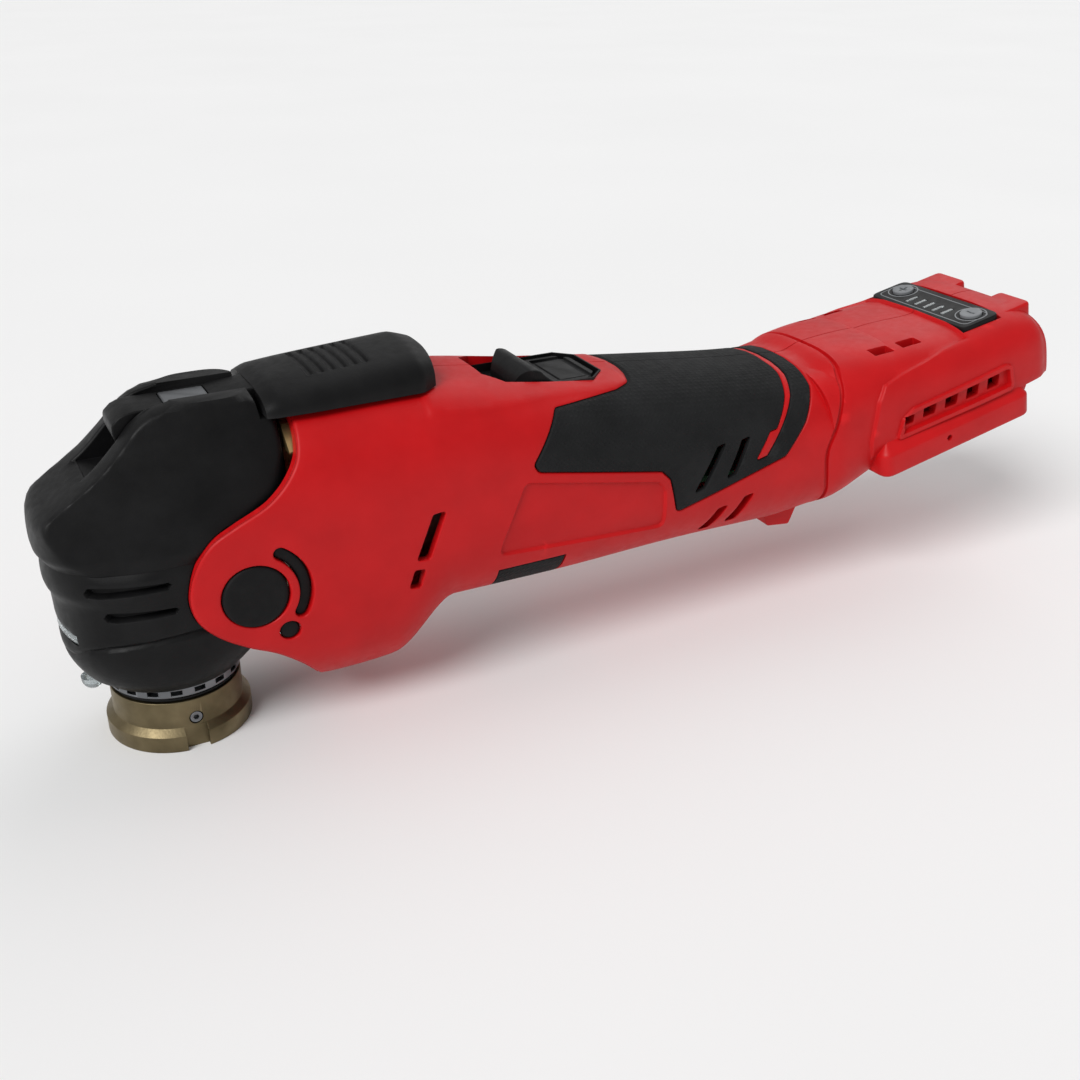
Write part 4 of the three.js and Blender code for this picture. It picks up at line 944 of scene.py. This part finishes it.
def collar():
    ring = turned(soft([(8, SEAL_TOP), (17.4, SEAL_TOP), (17.8, SEAL_TOP + 0.4), (17.8, COLLAR_TOP),
                        (8, COLLAR_TOP)], 0.15), 180)
    for k in range(COLLAR_SLOTS):
        slot = plate(rectangle((15.4, 30), (-1.5, 1.5), 0.5), [(16.6, 0), (18, 0)])
        cut(ring, moved(slot, Matrix.Rotation(2 * math.pi * k / COLLAR_SLOTS, 4, "Z")))
    return ring


def seal():
    return turned([tuple(p) for p in circle((16.6, (FLANGE_TOP + SEAL_TOP) / 2), 0.5, 16)], 160)


def flange():
    body = turned(soft([(7.2, FLANGE_TOP), (17.5, FLANGE_TOP), (17.5, 6.4), (19.5, 4.7), (19.5, 0), (15.6, 0),
                        (15.6, 1.1), (9.5, 1.1), (9.5, 4.2), (4.2, 4.2), (4.2, 7.2), (7.2, 7.2)]), 200)
    for k in range(DRIVE_PINS):
        pin = turned(soft([(0, 1.4), (1.2, 1.4), (1.2, 0.05), (0, 0.05)], 0.2), 32, (12.6, 0))
        join(body, moved(pin, Matrix.Rotation(2 * math.pi * (k + 0.5) / DRIVE_PINS, 4, "Z")))
    notch = box((-2.4, 3.6), (-30, -17.5), (-1, 6.7))
    return cut(body, notch, rod(1.9, (-30, -11.6), SET_SCREW_AT, 48))


def set_screw():
    body = rod(1.6, (-17.3, -12), SET_SCREW_AT, 40)
    return cut(body, rod(0.8, (-20, -16), SET_SCREW_AT, 6))


COIL_R, COIL_TURNS, WIRE_R = 5, 3, 0.45
COIL_Z = (69.3, 77.6)


def clamp_coil():
    """The spring round the clamp bolt, between the spindle's top and the bolt's head."""
    rings = []
    for t in np.linspace(0, 1, 40 * COIL_TURNS + 1):
        a = 2 * math.pi * COIL_TURNS * t
        middle = COIL_Z[0] + WIRE_R + (COIL_Z[1] - COIL_Z[0] - 2 * WIRE_R) * t
        wire = circle((COIL_R, middle), WIRE_R, 16)
        rings.append(np.stack([wire[:, 0] * math.cos(a), wire[:, 0] * math.sin(a), wire[:, 1]], 1))
    return stack(rings)


def work_light():
    dome = [(3 * math.sin(a), 18 - 3 * math.cos(a)) for a in np.linspace(0.12, math.pi / 2, 14)]
    return turned([(0, 15), *dome, (3, COLLAR_TOP), (0, COLLAR_TOP)], 64, (-21.4, 0))


# ---- slide switch and speed panel ----
def slider():
    (x0, x1), base, half = SLIDER_X, SWITCH_FLOOR + GAP, SWITCH_HALF - 1.2
    rise = [(14.5, 1.9), (11.6, 2.4), (9, 4.2), (6.8, 6.2), (4.2, 6.7), (2, 5.2), (0.5, 2.6), (0, 1)]
    top = spline([(x1, base + 1.9), *[(x0 + x, base + z) for x, z in rise]], 6)
    thumb = plate(np.vstack([[(x0, base), (x1, base)], top]), edged((-half, half), 0.8), "xz")
    plan = rounded(octagon(SLIDER_X, half, 4.6), 2)
    common(thumb, prism(plan, (base - 1, base + 9), "xy"))
    frame_line = rectangle((x0 + 13.4, x1 - 1.4), (-half + 2, half - 2), 1.2)
    cut(thumb, prism(frame_line, (base + 1.15, base + 9), "xy"))
    inset_line = rectangle((x0 + 14.8, x1 - 2.8), (-half + 3.4, half - 3.4), 0.9)
    join(thumb, plate(inset_line, edged((base + 0.5, base + 1.5), 0.3, False)))
    return join(thumb, box((x0 + 2, x0 + 8), (-2.6, 2.6), (SWITCH_FLOOR - WALL - 0.9, base + 1)))


def switch_tray():
    """A thin black liner in the switch recess."""
    tray = prism(grown(SWITCH_LINE, -0.02), (SWITCH_FLOOR + 0.02, SWITCH_FLOOR + 2.6), "xy")
    cut(tray, prism(grown(SWITCH_LINE, -0.5), (SWITCH_FLOOR + 0.2, SWITCH_FLOOR + 9), "xy"))
    return cut(tray, link_slot())


PANEL_V = (FOOT_TOP - 2.2, FOOT_TOP + 0.5)
PANEL_MIDDLE = sum(PANEL_U) / 2
KEY_AT = {side: (PANEL_MIDDLE + 1.4, side * BUTTON_Y) for side in (-1, 1)}
BAR_Y = [4.2 * (i - 2) for i in range(5)]


def speed_panel():
    panel = plate(rectangle(PANEL_U, (-PANEL_HALF, PANEL_HALF), 3), edged(PANEL_V, 0.4, False))
    for y in BAR_Y:
        opening = rectangle((PANEL_MIDDLE - 4.2, PANEL_MIDDLE + 1), (y - 0.9, y + 0.9), 0.4)
        cut(panel, prism(opening, (PANEL_V[0] + 0.5, 60), "xy"))
    for side in (-1, 1):
        cut(panel, prism(circle(KEY_AT[side], BUTTON_R + GAP), (PANEL_V[0] + 1, 60), "xy"))
    strip_bed = box((PANEL_MIDDLE - 4.6, PANEL_MIDDLE + 1.4), (-10.6, 10.6),
                    (PANEL_V[0] - 1, PANEL_V[0] + 1.3))
    return on_foot(cut(panel, strip_bed))


def light_bars():
    strip = box((PANEL_MIDDLE - 4.2, PANEL_MIDDLE + 1), (-10.2, 10.2), (PANEL_V[0], PANEL_V[0] + 1))
    for y in BAR_Y:
        bar = plate(rectangle((PANEL_MIDDLE - 4.0, PANEL_MIDDLE + 0.8), (y - 0.7, y + 0.7), 0.35),
                    edged((PANEL_V[0] + 0.5, PANEL_V[1] + 0.1), 0.15, False))
        join(strip, bar)
    return on_foot(strip)


def label_marks():
    """Thin raised outlines on the label, round the keys and round the bars."""
    v = (PANEL_V[1] - 0.2, PANEL_V[1] + 0.07)
    past = (v[0] - 1, v[1] + 1)
    marks = None
    for side in (-1, 1):
        ring = prism(circle(KEY_AT[side], BUTTON_R + 1.55), v, "xy")
        cut(ring, prism(circle(KEY_AT[side], BUTTON_R + 1.15), past, "xy"))
        marks = ring if marks is None else join(marks, ring)
    pill = rectangle((PANEL_MIDDLE - 5.6, PANEL_MIDDLE + 5.2), (-PANEL_HALF + 1.6, PANEL_HALF - 1.6), 2.6)
    return on_foot(join(marks, cut(prism(pill, v, "xy"), prism(grown(pill, -0.35), past, "xy"))))


def button(side):
    (u, y), low_v, top = KEY_AT[side], PANEL_V[0] + 1.7, PANEL_V[1] + 0.8
    profile = [(0, low_v), (BUTTON_R, low_v), (BUTTON_R, top), (BUTTON_R - 1.1, top), (0, top - 0.35)]
    key = turned(soft(profile), 64, (u, y))
    thin, long, engraved = 0.35, 1.7, (top - 0.75, top + 3)
    cut(key, box((u - thin, u + thin), (y - long, y + long), engraved))
    if side > 0:
        cut(key, box((u - long, u + long), (y - thin, y + thin), engraved))
    return on_foot(key)


# ---- materials ----
def linear(r, g, b):
    """An sRGB colour of 0 to 255 as the linear one that a shader takes."""
    values = (c / 255 / 12.92 if c <= 10 else ((c / 255 + 0.055) / 1.055) ** 2.4 for c in (r, g, b))
    return tuple(values) + (1.0,)


def finish(name, colour, rough, metal=0.0, grain=3000, bump=0.12, mottle=0.06, edge_highlight=0.25, dots=False,
           coat=0.0, clear=0.0, gloss=0.5):
    """A moulded or machined finish: fine grain, slight mottling, painted highlights on convex edges, softened
    corners.
    """
    m = bpy.data.materials.new(name)
    m.use_nodes = True
    nodes, links = m.node_tree.nodes, m.node_tree.links
    shader = nodes["Principled BSDF"]
    where = nodes.new("ShaderNodeTexCoord").outputs["Object"]

    def noise(scale, detail=3.0):
        n = nodes.new("ShaderNodeTexNoise")
        n.inputs["Scale"].default_value, n.inputs["Detail"].default_value = scale, detail
        links.new(where, n.inputs["Vector"])
        return n.outputs["Fac"]

    def ranged(value, a, b, c, d):
        n = nodes.new("ShaderNodeMapRange")
        for key, v in zip(("From Min", "From Max", "To Min", "To Max"), (a, b, c, d)):
            n.inputs[key].default_value = v
        links.new(value, n.inputs["Value"])
        return n.outputs["Result"]

    def mixed(factor, a, b, kind="MIX"):
        n = nodes.new("ShaderNodeMix")
        n.data_type, n.blend_type = "RGBA", kind
        links.new(factor, n.inputs["Factor"])
        for key, v in (("A", a), ("B", b)):
            socket = next(s for s in n.inputs if s.name == key and s.type == "RGBA")
            if isinstance(v, tuple):
                socket.default_value = v
            else:
                links.new(v, socket)
        return next(s for s in n.outputs if s.type == "RGBA")

    base = linear(*colour)
    dark = tuple(c * (1 - mottle * 2) for c in base[:3]) + (1.0,)
    light = tuple(min(1.0, c * (1 + mottle * 2) + 0.04 * mottle) for c in base[:3]) + (1.0,)
    shade = mixed(ranged(noise(90), 0.3, 0.7, 0, 1), dark, light)
    # Painted highlight: convex edges, found by pointiness, get a brighter base colour that stands in for
    # light catching rounded edges.
    highlight_colour = tuple(min(1.0, c * (1 + edge_highlight) + 0.02 * edge_highlight) for c in base[:3]) + (1.0,)
    point = nodes.new("ShaderNodeNewGeometry").outputs["Pointiness"]
    shade = mixed(ranged(point, 0.53, 0.62, 0, 1), shade, highlight_colour)
    links.new(shade, shader.inputs["Base Color"])
    links.new(ranged(noise(420), 0.25, 0.75, rough - 0.06, rough + 0.07), shader.inputs["Roughness"])
    shader.inputs["Metallic"].default_value = metal
    shader.inputs["Specular IOR Level"].default_value = gloss
    if coat:
        shader.inputs["Coat Weight"].default_value, shader.inputs["Coat Roughness"].default_value = coat, 0.2
    if clear:
        shader.inputs["Transmission Weight"].default_value = clear
    corner = nodes.new("ShaderNodeBevel")
    corner.samples = 4
    corner.inputs["Radius"].default_value = 0.00025
    relief = nodes.new("ShaderNodeBump")
    relief.inputs["Strength"].default_value, relief.inputs["Distance"].default_value = bump, 0.0002
    if dots:
        cells = nodes.new("ShaderNodeTexVoronoi")
        cells.feature = "F1"
        cells.inputs["Scale"].default_value, cells.inputs["Randomness"].default_value = 850, 0.0
        turn = nodes.new("ShaderNodeVectorRotate")
        turn.rotation_type = "EULER_XYZ"
        turn.inputs["Rotation"].default_value = (0, math.radians(45), 0)
        links.new(where, turn.inputs["Vector"])
        links.new(turn.outputs["Vector"], cells.inputs["Vector"])
        links.new(ranged(cells.outputs["Distance"], 0.15, 0.5, 1, 0), relief.inputs["Height"])
    else:
        links.new(noise(grain, 2.0), relief.inputs["Height"])
    links.new(corner.outputs["Normal"], relief.inputs["Normal"])
    links.new(relief.outputs["Normal"], shader.inputs["Normal"])
    return m


# The edge brightening set for each finish is a painted highlight on its convex edges.
FINISH = {
    "red_plastic": finish("red plastic", (188, 8, 14), 0.44, grain=2600, bump=0.10, mottle=0.03, edge_highlight=0.2,
                          gloss=0.25),
    "soft_overmould": finish("soft overmould", (19, 20, 21), 0.72, bump=0.6, mottle=0.08, dots=True,
                             gloss=0.22),
    "black_rubber": finish("black rubber", (11, 11, 12), 0.62, grain=2200, bump=0.2, gloss=0.2),
    "black_plastic": finish("black plastic", (8, 8, 9), 0.46, grain=2400, bump=0.2, mottle=0.08, edge_highlight=0.6,
                            gloss=0.18),
    "clear_lens": finish("clear lens", (190, 198, 200), 0.1, bump=0.02, mottle=0.02, clear=0.75, coat=0.2),
    "steel": finish("steel", (122, 124, 127), 0.4, 1.0, grain=1800, bump=0.08, mottle=0.08),
    "bronze": finish("bronze", (118, 106, 80), 0.43, 1.0, grain=1500, bump=0.2, mottle=0.16),
    "brass": finish("brass", (176, 141, 74), 0.35, 1.0, grain=1500, bump=0.1),
    "gearbox_aluminium": finish("gearbox aluminium", (168, 169, 171), 0.5, 1.0, grain=1300, bump=0.25),
    "copper": finish("copper", (180, 113, 61), 0.4, 1.0, grain=1600, bump=0.12),
    "grey_plastic": finish("grey plastic", (118, 121, 124), 0.5, grain=2400, bump=0.12),
    "circuit_board": finish("circuit board", (38, 92, 56), 0.5, grain=900, bump=0.2, coat=0.3),
}

TO_ROW = Matrix.Translation((AXIS_X, 0, 0)) @ Matrix.Scale(MM, 4)


def publish(obj, name, body, slot_name, nodes, smooth=32):
    mesh = obj.data
    mesh.transform(TO_ROW)
    obj.name = mesh.name = name.replace(" ", "_")
    mesh.polygons.foreach_set("use_smooth", [True] * len(mesh.polygons))
    mesh.set_sharp_from_angle(angle=math.radians(smooth))
    mesh.materials.clear()
    mesh.materials.append(FINISH[slot_name])
    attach(obj, body)
    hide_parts(*nodes)
    return obj


# ---- the whole tool ----
for side, shell in zip(("left", "right"), casing()):
    publish(shell, f"{side} casing half", "housing", "red_plastic", [f"{side}_casing"])
for side, shell in zip(("left", "right"), grips()):
    publish(shell, f"{side} soft grip", "housing", "soft_overmould", [f"{side}_grip"])
publish(belly_pad(), "belly pad moulding", "housing", "soft_overmould", ["belly_pad"])
for side, sign in (("left", -1), ("right", 1)):
    for piece, kind in zip(bumpers(sign), ("isolator", "arc_bumper", "peg_bumper")):
        publish(piece, f"{side} {kind} moulding", "housing", "black_rubber", [f"{side}_{kind}"])
publish(head_cover(), "head shell", "housing", "black_plastic", ["head_cover"])
publish(lens(), "light strip", "housing", "clear_lens", ["work_light_lens"])
publish(work_light(), "light dome", "housing", "clear_lens", ["work_light_led"])
publish(collar(), "slotted collar", "housing", "steel", ["index_collar"])
publish(seal(), "seal ring", "housing", "black_rubber", ["dust_seal"])
publish(flange(), "clamp flange", "spindle", "bronze", ["accessory_flange"])
publish(set_screw(), "flange screw", "spindle", "steel", ["flange_set_screw"])
coil = publish(clamp_coil(), "clamp coil", "spindle", "steel", ["clamp_spring"])
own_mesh(coil)
publish(lever(), "clamp lever", "lever", "black_plastic", ["lever"])
publish(lever_strap(), "lever inlay", "lever", "steel", ["lever_strap"])
publish(slider(), "thumb slide", "slider", "black_plastic", ["switch_slider"])
publish(switch_tray(), "switch liner", "housing", "black_plastic", [])
publish(label_marks(), "label marks", "housing", "grey_plastic", [])
publish(speed_panel(), "speed label", "housing", "black_plastic", ["speed_panel"])
publish(light_bars(), "speed bars", "housing", "clear_lens", ["light_guide"])
publish(button(-1), "minus key", "minus_key", "grey_plastic", ["minus_button"])
publish(button(1), "plus key", "plus_key", "grey_plastic", ["plus_button"])

SLOT_OF = {node: m["slot"] for m in frame["record"]["materials"] for node in m.get("nodes", [])}
for name, node in frame["nodes"].items():
    if not node.hide_render and name in SLOT_OF:
        for place in node.material_slots:
            place.material = FINISH[SLOT_OF[name]]

# ---- floor and light ----
def floor():
    r = 40.0  # metres, so that its edge is the horizon
    mesh = bpy.data.meshes.new("floor")
    mesh.from_pydata([(-r, -r, 0), (r, -r, 0), (r, r, 0), (-r, r, 0)], [], [(0, 1, 2, 3)])
    paper = bpy.data.materials.new("pale paper")
    paper.use_nodes = True
    nodes, links = paper.node_tree.nodes, paper.node_tree.links
    shader = nodes["Principled BSDF"]
    shader.inputs["Roughness"].default_value = 0.85
    where = nodes.new("ShaderNodeTexCoord").outputs["Object"]
    tone = nodes.new("ShaderNodeTexNoise")
    tone.inputs["Scale"].default_value = 4
    ramp = nodes.new("ShaderNodeMapRange")
    ramp.inputs["To Min"].default_value, ramp.inputs["To Max"].default_value = 0.86, 0.90
    links.new(where, tone.inputs["Vector"])
    links.new(tone.outputs["Fac"], ramp.inputs["Value"])
    links.new(ramp.outputs["Result"], shader.inputs["Base Color"])
    mesh.materials.append(paper)
    return placed("floor", mesh)


def sun(name, towards, spread, power):
    """Even light from one side, as from a soft box of that many degrees."""
    data = bpy.data.lights.new(name, "SUN")
    data.angle, data.energy = math.radians(spread), power
    obj = placed(name, data)
    obj.location = towards
    obj.rotation_mode = "QUATERNION"
    obj.rotation_quaternion = Vector(towards).to_track_quat("Z", "Y")
    return obj


world = bpy.data.worlds.new("studio")
world.use_nodes = True
world.node_tree.nodes["Background"].inputs["Color"].default_value = (1, 1, 1, 1)
world.node_tree.nodes["Background"].inputs["Strength"].default_value = 0.42
bpy.context.scene.world = world
floor()
sun("key", (-0.9, -0.5, 1.0), 30, 2.1)
sun("rear", (0.7, 0.5, 0.8), 50, 0.6)
bpy.context.scene.view_settings.view_transform = "Standard"
